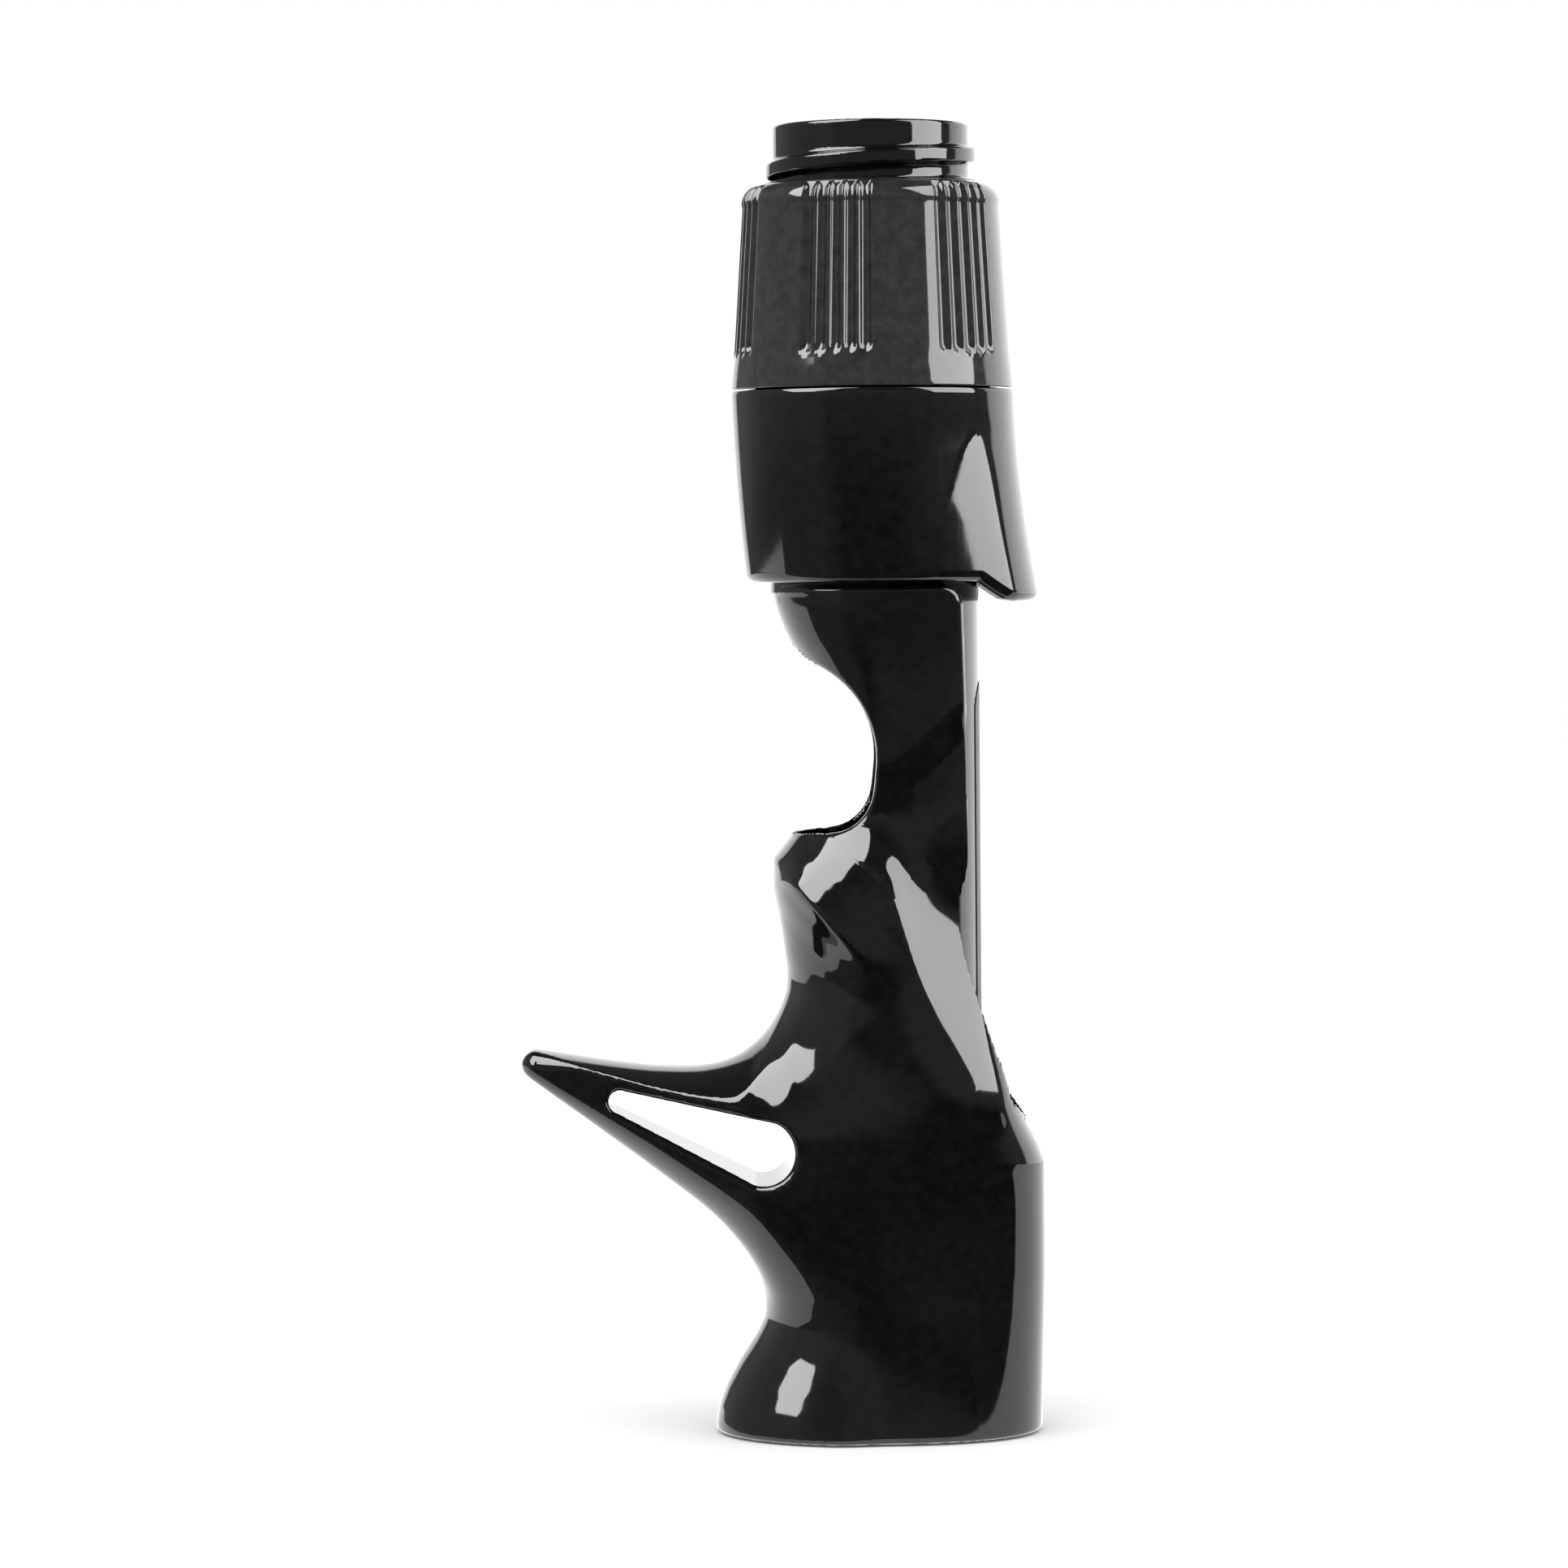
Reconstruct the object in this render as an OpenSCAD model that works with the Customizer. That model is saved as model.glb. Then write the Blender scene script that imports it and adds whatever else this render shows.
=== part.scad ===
// Casting reel seat with a finger trigger: a moulded seat body, a keyed sliding hood and its lock nut.
// Lengths are in millimetres. +Z runs up the rod's axis towards the rod tip, the reel sits at +X,
// the trigger points to -X, and the origin is on the axis at the rear face.

/* [Barrel] */
// Bore for the rod blank
bore_d = 15.5; // [13:0.1:16]
// How much deeper the bore is beside the window than in its front and rear lands
bore_relief = 0.2; // [0.1:0.05:0.4]
// Outside of the plain barrel, which is also the crown of the foot bed
barrel_d = 19.5; // [19.3:0.1:20]
// Length of the seat from its rear face to the front lip
seat_len = 122; // [118:1:130]
// Diameter at the root of the thread
thread_root_d = 18.4; // [18.2:0.1:18.8]
// Height of the thread above its root
thread_h = 0.65; // [0.5:0.05:0.7]
// Rise of the thread in one turn
thread_pitch = 2.9; // [2.7:0.1:3.4]
// Width of the thread at its crest
thread_crest_w = 1.2; // [1:0.05:1.3]
// Plain lip above the thread
front_lip = 1.3; // [1:0.1:3]

/* [Rear end] */
// Axis to the back edge of the rear face, on the trigger side
rear_back = 15.4; // [14:0.1:17]
// Axis to the front edge of the rear face, on the reel side
rear_front = 15.2; // [14.8:0.1:16]
// Half the width of the rear face
rear_half_w = 11.4; // [10.8:0.1:13]
// Height of the waist above the rear face
waist_z = 12.8; // [11:0.1:14]
// Axis to the back of the waist
waist_back = 10.2; // [9.6:0.1:11]
// Half the width of the waist
waist_half_w = 10.7; // [10.2:0.1:11.2]

/* [Fixed hood] */
// Axis to the outside of the hood's roof
roof_x = 15.55; // [15.2:0.05:16.5]
// Thickness of the roof
roof_wall = 1.8; // [1.4:0.1:2]
// Height of the roof's lip above the rear face
roof_lip_z = 25.4; // [24:0.1:27]
// Height at which the mouth's cheeks run out into the rails
mouth_z = 42; // [40:0.5:44]
// Floor of the pocket for the rear end of the reel foot
pocket_floor_z = 15; // [12:0.5:17]
// Half the width of the reel foot's channel
channel_half_w = 7.4; // [6.6:0.1:7.6]

/* [Grip] */
// Half the width of the grip above the trigger
grip_half_w = 11; // [10.8:0.1:11.6]
// How much less the half width of the neck beside the window is
neck_step = 1.4; // [0.8:0.1:1.5]
// Axis to the back of the grip above the trigger
grip_back = 9.05; // [8.8:0.05:9.6]
// Axis to the top of the rails beside the reel foot
rail_x = 8.7; // [8.4:0.1:9.2]
// How much lower the rails are at the front
rail_fall = 0.65; // [0.3:0.05:1]
// Height of the shoulder that stops the sliding hood
shoulder_z = 79.1; // [77:0.1:81]
// Axis to the back of the shoulder
shoulder_back = 9.65; // [9.5:0.05:9.7]
// Radius of the shoulder's front corners
shoulder_r = 1.6; // [1:0.1:2.5]
// Height of the pointed chin below the window
chin_z = 53.6; // [53:0.1:54]
// Axis to the point of the chin
chin_back = 9.75; // [9.5:0.05:10.2]
// Depth of the finger hollow under the chin
hollow_depth = 1.4; // [0.8:0.1:1.5]

/* [Window] */
// Radius of the window that bares the blank
window_r = 9.2; // [8.6:0.1:9.4]
// Height of the window's centre
window_z = 64.5; // [64:0.1:65.5]
// How far past the axis the window's front edge lies
window_past = 0.05; // [-0.5:0.05:0.5]
// Radius of the window's lower front corner
window_corner_r = 4.5; // [3:0.1:5]
// Height of the window's lower edge
window_low_z = 55.9; // [55.6:0.1:56.4]

/* [Trigger] */
// Axis to the tip of the trigger
trigger_reach = 33.4; // [31:0.1:36]
// Height of the tip's centre above the rear face
tip_z = 34.6; // [33:0.1:36]
// Radius of the tip, seen from the side
tip_r = 1.4; // [1.2:0.1:1.6]
// Half the thickness of the trigger at its tip
tip_half_w = 3.2; // [2.6:0.1:4]
// Half the thickness of the trigger at its root
root_half_w = 9.6; // [9:0.1:10]
// Radius of the slot's wide end
slot_big_r = 2.6; // [2:0.1:2.8]
// Radius of the slot's narrow end
slot_small_r = 0.85; // [0.6:0.05:1.1]
// Axis to the centre of the slot's wide end
slot_big_x = 10.95; // [10.9:0.05:12]
// Height of the slot's wide end
slot_big_z = 26.8; // [26.2:0.1:27.4]
// Axis to the centre of the slot's narrow end
slot_small_x = 24.1; // [22:0.1:25]
// Height of the slot's narrow end
slot_small_z = 31.3; // [31:0.1:31.6]

/* [Foot pad] */
// Half the width of the pad let into the foot bed
pad_half_w = 2.9; // [2:0.1:3.5]
// Height of the pad's front end
pad_front_z = 70; // [66:0.5:73]
// Thickness of the pad
pad_t = 0.85; // [0.6:0.05:1]
// Width of the groove round the pad
pad_groove = 0.35; // [0.2:0.05:0.6]

/* [Sliding hood] */
// Height of the sliding hood
hood_h = 17.8; // [16:0.1:20]
// Radius of the hood where it meets the lock nut
hood_top_r = 13.3; // [13.1:0.1:14]
// Radius of the hood at its lower edge
hood_low_r = 11.9; // [11.6:0.1:12.6]
// Axis to the front of the bill at its lower end
bill_reach = 15.2; // [15:0.1:16.5]
// How far the bill hangs below the hood
bill_drop = 1.9; // [1:0.1:2.5]
// Half the width of the bill between its two ridges at its lower end
bill_half_w = 6.9; // [6.7:0.1:7.6]
// Depth of the pocket for the front end of the reel foot
hood_pocket_h = 12; // [9:0.5:13]
// Half the width of the hood's pocket
hood_pocket_half_w = 6.3; // [5.5:0.1:6.4]
// Thickness of the bill over the pocket
bill_wall = 1.3; // [1.1:0.1:1.4]
// Running clearance between the hood and the barrel's thread
hood_clear = 0.35; // [0.3:0.05:0.4]
// Half the width of the key that stops the hood from turning
key_half_w = 1.5; // [1:0.1:2]
// Gap between the hood and the shoulder when it is seated
seat_gap = 0.35; // [0.3:0.05:1]

/* [Lock nut] */
// Height of the lock nut
nut_h = 19.1; // [17:0.1:21]
// Radius of the nut at the foot of its rounded shoulder
nut_top_r = 12; // [11.8:0.1:12.6]
// How far the nut stands back from the hood at their seam
seam_step = 0.05; // [0:0.05:0.3]
// Radius of the nut's shoulder
nut_shoulder_r = 1.9; // [1.2:0.1:2.2]
// Groups of flutes round the nut
flute_groups = 6; // [4:1:8]
// Flutes in a group
flutes = 5; // [3:1:6]
// Angle between two flutes
flute_step = 6.5; // [5.5:0.5:8]
// Width of a flute
flute_w = 1.1; // [0.8:0.1:1.2]
// Depth of a flute
flute_depth = 0.4; // [0.2:0.05:0.5]
// Height of a flute's lower end above the nut's lower face
flute_low = 3.4; // [2.5:0.1:6]
// Height of the snap collar that joins the hood to the nut
collar_h = 3.8; // [3.4:0.1:4.4]
// Thickness of the collar, as a share of the space between the hood's bore and the nut's outside
collar_share = 0.245; // [0.23:0.005:0.28]
// How far the collar's rim stands out, as a share of the same space
rim_share = 0.165; // [0.15:0.005:0.2]
// Height of the snap ring
ring_h = 0.8; // [0.6:0.1:1]
// Gap between faces that turn or slide past each other
play = 0.3; // [0.3:0.02:0.36]

/* [Hood liners] */
// Thickness of the cushion liners in both hoods
liner_t = 0.7; // [0.5:0.05:0.9]

/* [Hidden] */

fine = 96;
over = 1;
touch = 0.05;

bore_r = bore_d / 2;
relief_low_z = window_low_z - 1.9;
relief_high_z = window_z + window_r + 1.3;
barrel_r = barrel_d / 2;
root_r = thread_root_d / 2;
crest_r = root_r + thread_h;
hood_bore_r = max(crest_r, barrel_r) + hood_clear;
hood_z = shoulder_z + seat_gap;
hood_top_z = hood_z + hood_h;
bill_low_z = hood_z - bill_drop;
nut_z = hood_top_z + play / 2;
nut_top_z = nut_z + nut_h;
nut_low_r = hood_top_r - seam_step;
collar_space = nut_low_r - hood_bore_r;
collar_r = hood_bore_r + collar_space * collar_share;
collar_rim = collar_space * rim_share;
rim_r = collar_r + collar_rim;
nut_seat_r = rim_r + play;
rim_z = hood_top_z + collar_h;
ring_z = rim_z - 1 - play - ring_h;
ring_in_r = collar_r + collar_rim * 0.6;
ring_out_r = nut_seat_r + collar_space * 0.13;
collar_room_z = rim_z + play;
nut_thread_low_z = collar_room_z + 1;
nut_thread_top_z = nut_top_z - 1.2;
thread_low_z = hood_top_z + 1.2;
thread_top_z = seat_len - front_lip;
pocket_r = roof_x - roof_wall;
recess_r = barrel_r - pad_t - touch;
pad_low_z = pocket_floor_z + liner_t + 1;
liner_roof_low_z = pocket_floor_z + touch;

// The crest of the thread passes the back of the barrel at this height.
thread_mark_z = 117.7;

// The rear end flares out behind the waist, and its lower edge is rounded.
flare = rear_back - waist_back;
edge_r = 0.6;

// Stations up the seat: height, back, front, half width, squareness of the back and of the front, middle.
stations = [
    [0, rear_back - edge_r, rear_front - edge_r, rear_half_w - edge_r, 1.95, 2.2, 0],
    [edge_r * 0.6, rear_back - edge_r * 0.1, rear_front - edge_r * 0.1, rear_half_w - edge_r * 0.1, 1.95, 2.2, 0],
    [waist_z * 0.16, rear_back - flare * 0.03, rear_front, rear_half_w, 1.95, 2.25, 0],
    [waist_z * 0.33, rear_back - flare * 0.17, rear_front + 0.05, rear_half_w - 0.1, 1.95, 2.3, 0],
    [waist_z * 0.6, rear_back - flare * 0.54, rear_front + 0.1, waist_half_w + 0.35, 2, 2.35, 0],
    [waist_z * 0.8, rear_back - flare * 0.85, roof_x - 0.15, waist_half_w + 0.1, 2, 2.4, 0],
    [waist_z * 1.06, waist_back, roof_x - 0.05, waist_half_w, 2.1, 2.5, 0],
    [20, waist_back + 0.5, roof_x, waist_half_w + 0.1, 2.2, 2.6, 0],
    [27, waist_back + 0.5, roof_x, waist_half_w + 0.2, 2.2, 2.6, 0],
    [35, grip_back + 1.1, roof_x - 1.5, grip_half_w - 0.15, 2.2, 2.8, 0.3],
    [41, grip_back + 0.1, roof_x - 2.6, grip_half_w, 2.3, 2.6, 0.6],
    [47, grip_back, roof_x - 3, grip_half_w, 2.3, 2.6, 0.8],
    [51, grip_back + 0.35, roof_x - 3.2, grip_half_w + 0.1, 2.2, 2.7, 0.8],
    [chin_z, chin_back, roof_x - 3.4, grip_half_w + 0.1, 2.1, 2.7, 0.8],
    [chin_z + 1.9, chin_back - 1.3, roof_x - 3.5, grip_half_w + 0.1, 2.1, 2.7, 0.8],
    [chin_z + 3.2, chin_back - 2.6, roof_x - 3.5, grip_half_w + 0.1, 2.1, 2.7, 0.8],
    [window_z, 4, roof_x - 3.5, grip_half_w + 0.2, 2.1, 2.8, 0.8],
    [window_z + 7.8, shoulder_back - 2.85, roof_x - 3.5, grip_half_w + 0.3, 2.1, 2.8, 0.8],
    [shoulder_z - 4, shoulder_back - 1.1, roof_x - 3.6, grip_half_w + 0.5, 2.1, 2.8, 0.8],
    [shoulder_z, shoulder_back, roof_x - 3.6, grip_half_w + 0.6, 2.1, 2.8, 0.8]
];

// Upper and lower edges of the trigger: distance behind the axis, height.
tip_u = trigger_reach - tip_r;
low_slope = 35.4;
tip_low_z = tip_z - tip_r / cos(low_slope);
trigger_top = [
    [2, tip_z + 13], [8, tip_z + 9], [9.3, tip_z + 6], [10.3, tip_z + 2.7], [11.3, tip_z + 1.3],
    [13.2, tip_z + 0.35], [17.6, tip_z - 0.35], [21.4, tip_z - 0.15], [tip_u, tip_z + tip_r]
];
trigger_low = [
    [2, 9], [8, 11.5], [10.3, 14.2], [11.7, 16.8], [13.6, 19.1], [16.2, 21.4], [22.4, 26], [tip_u, tip_low_z]
];

// Smooth curve through a table: the value in column c at place u of the first column.
function row_at(t, u, i = 0) = i >= len(t) - 2 || u < t[i + 1][0] ? i : row_at(t, u, i + 1);
function rise_at(t, i, c) =
    let (a = max(i - 1, 0), b = min(i + 1, len(t) - 1))
    (t[b][c] - t[a][c]) / (t[b][0] - t[a][0]);
function curve(t, u, c = 1) =
    let (i = row_at(t, u), h = t[i + 1][0] - t[i][0], s = (u - t[i][0]) / h)
    (2 * s ^ 3 - 3 * s ^ 2 + 1) * t[i][c] + (s ^ 3 - 2 * s ^ 2 + s) * h * rise_at(t, i, c)
    + (3 * s ^ 2 - 2 * s ^ 3) * t[i + 1][c] + (s ^ 3 - s ^ 2) * h * rise_at(t, i + 1, c);
function ease(s) = let (k = min(max(s, 0), 1)) k * k * (3 - 2 * k);
function signed_power(v, e) = sign(v) * abs(v) ^ e;

// The hollow for the finger starts at a ridge that runs down and forwards from the chin.
ridge_angle = 47;
function hollow(x, z) =
    let (
        along = (x + chin_back) * cos(ridge_angle) - (z - chin_z) * sin(ridge_angle),
        below = -(x + chin_back) * sin(ridge_angle) - (z - chin_z) * cos(ridge_angle)
    )
    hollow_depth * ease(below / 2.6) * (1 - ease((along - 7) / 7)) * ease((z - 38) / 6);

// The sides step in to the neck along a slanting line under the window.
function neck(x, z) = neck_step * ease((x + z - window_low_z + 3.2) / 10.6 + 0.5);

function seat_ring(z, n) =
    let (
        mid = curve(stations, z, 6), back = curve(stations, z, 1) + mid,
        front = curve(stations, z, 2) - mid, w = curve(stations, z, 3)
    )
    [for (i = [0:n - 1])
        let (
            a = 360 * (i + 0.5) / n,
            e = 2 / curve(stations, z, cos(a) < 0 ? 4 : 5),
            x = mid + (cos(a) < 0 ? back : front) * signed_power(cos(a), e),
            y = (w - neck(x, z)) * signed_power(sin(a), e)
        )
        [x, sign(y) * max(abs(y) - hollow(x, z), 0.15), z]];

function trigger_ring(u, n) =
    let (
        past = max(u - tip_u, 0), level = sqrt(tip_r ^ 2 - past ^ 2),
        top = past > 0 ? tip_z + level : curve(trigger_top, u),
        low = past > tip_r * sin(low_slope) ? tip_z - level
            : past > 0 ? tip_low_z + past * tan(low_slope) : curve(trigger_low, u),
        share = (u - slot_big_x) / (tip_u - slot_big_x),
        w = root_half_w + (tip_half_w - root_half_w) * max(share, -0.08) - tip_r + level,
        e = 0.7 + 0.3 * ease((16 - u) / 8),
        h = (top - low) / 2
    )
    [for (i = [0:n - 1])
        let (a = 360 * (i + 0.5) / n)
        [-u, w * signed_power(sin(a), e), (top + low) / 2 + h * signed_power(cos(a), e)]];

// A closed skin over a list of rings that have the same number of points.
module loft(rings) {
    n = len(rings[0]);
    last = len(rings) - 1;
    polyhedron(
        points = [for (r = rings) each r],
        faces = [
            [for (i = [0:n - 1]) i],
            for (k = [0:last - 1], i = [0:n - 1]) each [
                [k * n + i, (k + 1) * n + i, (k + 1) * n + (i + 1) % n],
                [k * n + i, (k + 1) * n + (i + 1) % n, k * n + (i + 1) % n]
            ],
            [for (i = [n - 1:-1:0]) last * n + i]
        ],
        convexity = 6
    );
}

// A helical ridge between two radii, with its two ends run out to nothing.
module thread_ridge(low, high, mark, inner_r, outer_r, low_w, top_w, outward) {
    steps = 24;
    first = ceil((low - mark) / thread_pitch * steps);
    last = floor((high - mark) / thread_pitch * steps);
    rings = [for (k = [first:last])
        let (
            a = 180 + 360 * k / steps,
            z = mark + thread_pitch * k / steps,
            full = ease(min(k - first, last - k) / 5) * 0.98 + 0.02,
            ri = outward ? inner_r : outer_r - (outer_r - inner_r) * full,
            ro = outward ? inner_r + (outer_r - inner_r) * full : outer_r
        )
        [
            [ri * cos(a), ri * sin(a), z - low_w / 2], [ri * cos(a), ri * sin(a), z + low_w / 2],
            [ro * cos(a), ro * sin(a), z + top_w / 2], [ro * cos(a), ro * sin(a), z - top_w / 2]
        ]];
    loft(rings);
}

// Everything in an outline drawn in X and Z, made thick across the seat.
module across(half) {
    rotate([90, 0, 0]) linear_extrude(2 * half, center = true) children();
}

// Two round ends of different radius joined by their tangents.
module tapered_slot(a, ra, b, rb) {
    d = b - a;
    turn = atan2(d.y, d.x);
    lean = acos((ra - rb) / norm(d));
    translate(a) circle(ra, $fn = fine);
    translate(b) circle(rb, $fn = fine);
    polygon([
        a + ra * [cos(turn + lean), sin(turn + lean)], b + rb * [cos(turn + lean), sin(turn + lean)],
        b + rb * [cos(turn - lean), sin(turn - lean)], a + ra * [cos(turn - lean), sin(turn - lean)]
    ]);
}

module seat_skin() {
    levels = [for (i = [0:46]) i < 46 ? i * shoulder_z / 46 : shoulder_z];
    loft([for (z = levels) seat_ring(z, 50)]);
}

module trigger_blade() {
    first = 3;
    loft([
        for (i = [0:20]) trigger_ring(first + (tip_u - first) * (i / 20) ^ 1.1, 24),
        for (a = [20:20:80]) trigger_ring(tip_u + tip_r * sin(a), 24)
    ]);
}

// The window on the trigger side, through which the finger touches the blank.
module window() {
    front = window_past - window_corner_r;
    across(20) {
        translate([window_past - window_r, window_z]) circle(window_r, $fn = fine);
        translate([front, window_low_z + window_corner_r]) circle(window_corner_r, $fn = fine);
        translate([-20, window_low_z]) square([20 + front, window_corner_r * 1.6]);
    }
}

// What is cut away on the reel side: over the rails, round the shoulder and in front of the sloping mouth.
module reel_side_cut() {
    top_x = rail_x - rail_fall;
    span = roof_x - 0.2 - rail_x;
    fall = mouth_z - roof_lip_z;
    across(20) polygon([
        for (a = [0:15:90]) [
            top_x - shoulder_r + shoulder_r * sin(a), shoulder_z - shoulder_r + shoulder_r * cos(a)
        ],
        [rail_x - 0.1, shoulder_z * 0.75], [rail_x, mouth_z + 2],
        [rail_x + span * 0.1, mouth_z - fall * 0.07], [rail_x + span * 0.27, mouth_z - fall * 0.29],
        [rail_x + span * 0.48, mouth_z - fall * 0.52], [rail_x + span * 0.75, mouth_z - fall * 0.78],
        [rail_x + span * 0.94, roof_lip_z + 1.1], [roof_x - 0.05, roof_lip_z], [roof_x + 10, roof_lip_z],
        [roof_x + 10, shoulder_z + over], [top_x - shoulder_r, shoulder_z + over]
    ]);
}

// The way for the reel foot: along the bed and down into the fixed hood's pocket.
module foot_channel() {
    difference() {
        intersection() {
            translate([0, -channel_half_w, pocket_floor_z])
                cube([pocket_r + over, 2 * channel_half_w, shoulder_z + over - pocket_floor_z]);
            cylinder(r = pocket_r, h = seat_len, $fn = fine);
        }
        cylinder(r = barrel_r, h = seat_len, $fn = fine);
    }
}

// The outline of the pad, drawn on the bed and grown by a margin.
module pad_outline(grow) {
    r = pad_half_w + grow;
    translate([pad_front_z - pad_half_w, 0]) circle(r, $fn = fine);
    translate([pad_low_z - grow, -r]) square([pad_front_z - pad_half_w - pad_low_z + grow, 2 * r]);
}

module pad_block(grow) {
    rotate([0, -90, 0]) mirror([0, 0, 1]) linear_extrude(barrel_r + over) pad_outline(grow);
}

module seat_body() color([0.03, 0.03, 0.032]) difference() {
    union() {
        difference() {
            union() {
                seat_skin();
                trigger_blade();
            }
            reel_side_cut();
            foot_channel();
        }
        intersection() {
            cylinder(r = barrel_r, h = shoulder_z, $fn = fine);
            translate([barrel_r / 3, -barrel_r, 0.5]) cube([barrel_r, 2 * barrel_r, shoulder_z]);
        }
        translate([0, 0, shoulder_z - 0.4]) cylinder(r = barrel_r, h = thread_low_z - shoulder_z + 0.4, $fn = fine);
        translate([0, 0, thread_low_z - over]) cylinder(r = root_r, h = seat_len - thread_low_z + over, $fn = fine);
        thread_ridge(
            thread_low_z + thread_pitch / 2, thread_top_z, thread_mark_z,
            root_r - 0.4, crest_r, thread_crest_w + 0.6, thread_crest_w, true
        );
    }
    translate([0, 0, -over]) cylinder(r = bore_r, h = seat_len + 2 * over, $fn = fine);
    translate([0, 0, relief_low_z])
        cylinder(r = bore_r + bore_relief, h = relief_high_z - relief_low_z, $fn = fine);
    window();
    across(20) tapered_slot(
        [-slot_big_x, slot_big_z], slot_big_r, [-slot_small_x, slot_small_z], slot_small_r
    );
    difference() {
        pad_block(pad_groove);
        cylinder(r = recess_r, h = seat_len, $fn = fine);
    }
    key_way();
}

// The groove up the front of the barrel in which the hood's key slides.
module key_way() {
    translate([barrel_r - pad_t, -key_half_w - play, shoulder_z - 0.1])
        cube([3, 2 * (key_half_w + play), seat_len]);
}

module foot_pad() color([0.05, 0.05, 0.05]) intersection() {
    pad_block(0);
    difference() {
        cylinder(r = barrel_r, h = seat_len, $fn = fine);
        translate([0, 0, -over]) cylinder(r = recess_r + touch, h = seat_len + 2 * over, $fn = fine);
    }
}

// A part-round lining of constant thickness under a roof of the given radius.
module arched_liner(low, high, low_r, high_r, half) {
    intersection() {
        difference() {
            translate([0, 0, low]) cylinder(r1 = low_r, r2 = high_r, h = high - low, $fn = fine);
            translate([0, 0, low]) cylinder(r1 = low_r - liner_t, r2 = high_r - liner_t, h = high - low, $fn = fine);
        }
        translate([0, -half, low]) cube([low_r + high_r, 2 * half, high - low]);
    }
}

module rear_hood_liner() color([0.06, 0.06, 0.06]) arched_liner(
    liner_roof_low_z, roof_lip_z - 1.5, pocket_r - touch, pocket_r - touch, channel_half_w - touch
);

// Rings of the sliding hood: round at the top, drawn out below into a bill with two ridges.
function hood_ring(z, n) =
    let (
        s = (hood_top_z - z) / hood_h,
        r = hood_top_r + (hood_low_r - hood_top_r) * (0.55 * s + 0.45 * s ^ 2.5),
        tip = hood_top_r + (bill_reach - hood_top_r) * s ^ 1.7,
        ridge_y = r * 0.68 + (bill_half_w - hood_low_r * 0.68) * s,
        ridge_x = sqrt(r ^ 2 - ridge_y ^ 2) + (bill_reach - 2.4 - sqrt(hood_low_r ^ 2 - bill_half_w ^ 2)) * s ^ 1.4,
        ridge_a = atan2(ridge_y, ridge_x),
        cheek_a = ridge_a + acos(min(r / norm([ridge_x, ridge_y]), 1))
    )
    [for (i = [0:n - 1])
        let (a = 360 * (i + 0.5) / n, b = min(a, 360 - a))
        b < ridge_a
            ? let (k = sin(b) / sin(ridge_a), x = tip - (tip - ridge_x) * (1 - sqrt(1 - (0.8 * k) ^ 2)) / 0.4)
                [x, sign(sin(a)) * ridge_y * k, z]
            : b < cheek_a
                ? let (d = r / cos(b - cheek_a)) [d * cos(a), d * sin(a), z]
                : [r * cos(a), r * sin(a), z]];

module hood_skin() {
    loft([for (i = [0:16])
        let (z = bill_low_z + (hood_top_z - bill_low_z) * i / 16)
        hood_ring(z, 48)]);
}

// Below the hood only the bill hangs down, and its lower edge slopes up to the hood.
module under_hood_cut() {
    across(20) polygon([
        [-20, bill_low_z - over], [-20, hood_z], [barrel_r + 0.1, hood_z],
        [bill_reach - 2.8, bill_low_z + 0.2], [bill_reach - 2, bill_low_z],
        [bill_reach - 1.1, bill_low_z], [bill_reach - 0.3, bill_low_z + 0.4], [bill_reach, bill_low_z + 1.2],
        [bill_reach + 5, bill_low_z + 1.2], [bill_reach + 5, bill_low_z - over]
    ]);
}

hood_pocket_low_r = bill_reach - bill_wall;
pocket_taper = 1.9;
hood_pocket_top_r = hood_pocket_low_r - pocket_taper;
hood_pocket_top_z = bill_low_z + hood_pocket_h;

module hood_pocket() {
    intersection() {
        translate([0, 0, bill_low_z - over])
            cylinder(
                r1 = hood_pocket_low_r + over * pocket_taper / hood_pocket_h, r2 = hood_pocket_top_r,
                h = hood_pocket_h + over, $fn = fine
            );
        translate([0, -hood_pocket_half_w, bill_low_z - 2 * over])
            cube([bill_reach, 2 * hood_pocket_half_w, hood_pocket_h + 2 * over]);
    }
}

module sliding_hood() color([0.03, 0.03, 0.032]) {
    difference() {
        union() {
            difference() {
                hood_skin();
                under_hood_cut();
            }
            translate([0, 0, hood_top_z - over]) cylinder(r = collar_r, h = collar_h + over, $fn = fine);
            translate([0, 0, rim_z - 1]) cylinder(r = rim_r, h = 1, $fn = fine);
        }
        translate([0, 0, bill_low_z - over])
            cylinder(r = hood_bore_r, h = rim_z - bill_low_z + 2 * over, $fn = fine);
        hood_pocket();
    }
    hood_key();
}

// The key stands in from the hood's bore, above the pocket.
module hood_key() {
    intersection() {
        difference() {
            translate([0, 0, hood_pocket_top_z])
                cylinder(r = hood_bore_r + 0.3, h = hood_top_z - hood_pocket_top_z, $fn = fine);
            translate([0, 0, hood_pocket_top_z - over])
                cylinder(r = barrel_r - pad_t + play + 0.15, h = hood_h, $fn = fine);
        }
        translate([0, -key_half_w, hood_pocket_top_z]) cube([20, 2 * key_half_w, hood_h]);
    }
}

module front_hood_liner() color([0.06, 0.06, 0.06]) arched_liner(
    hood_z, hood_pocket_top_z - touch,
    hood_pocket_low_r - bill_drop * pocket_taper / hood_pocket_h - touch, hood_pocket_top_r - touch,
    hood_pocket_half_w - touch
);

module snap_ring() color([0.75, 0.75, 0.72]) difference() {
    translate([0, 0, ring_z]) cylinder(r = ring_out_r, h = ring_h, $fn = fine);
    translate([0, 0, ring_z - over]) cylinder(r = ring_in_r, h = ring_h + 2 * over, $fn = fine);
    translate([-20, -1.5, ring_z - over]) cube([20, 3, ring_h + 2 * over]);
}

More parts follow.
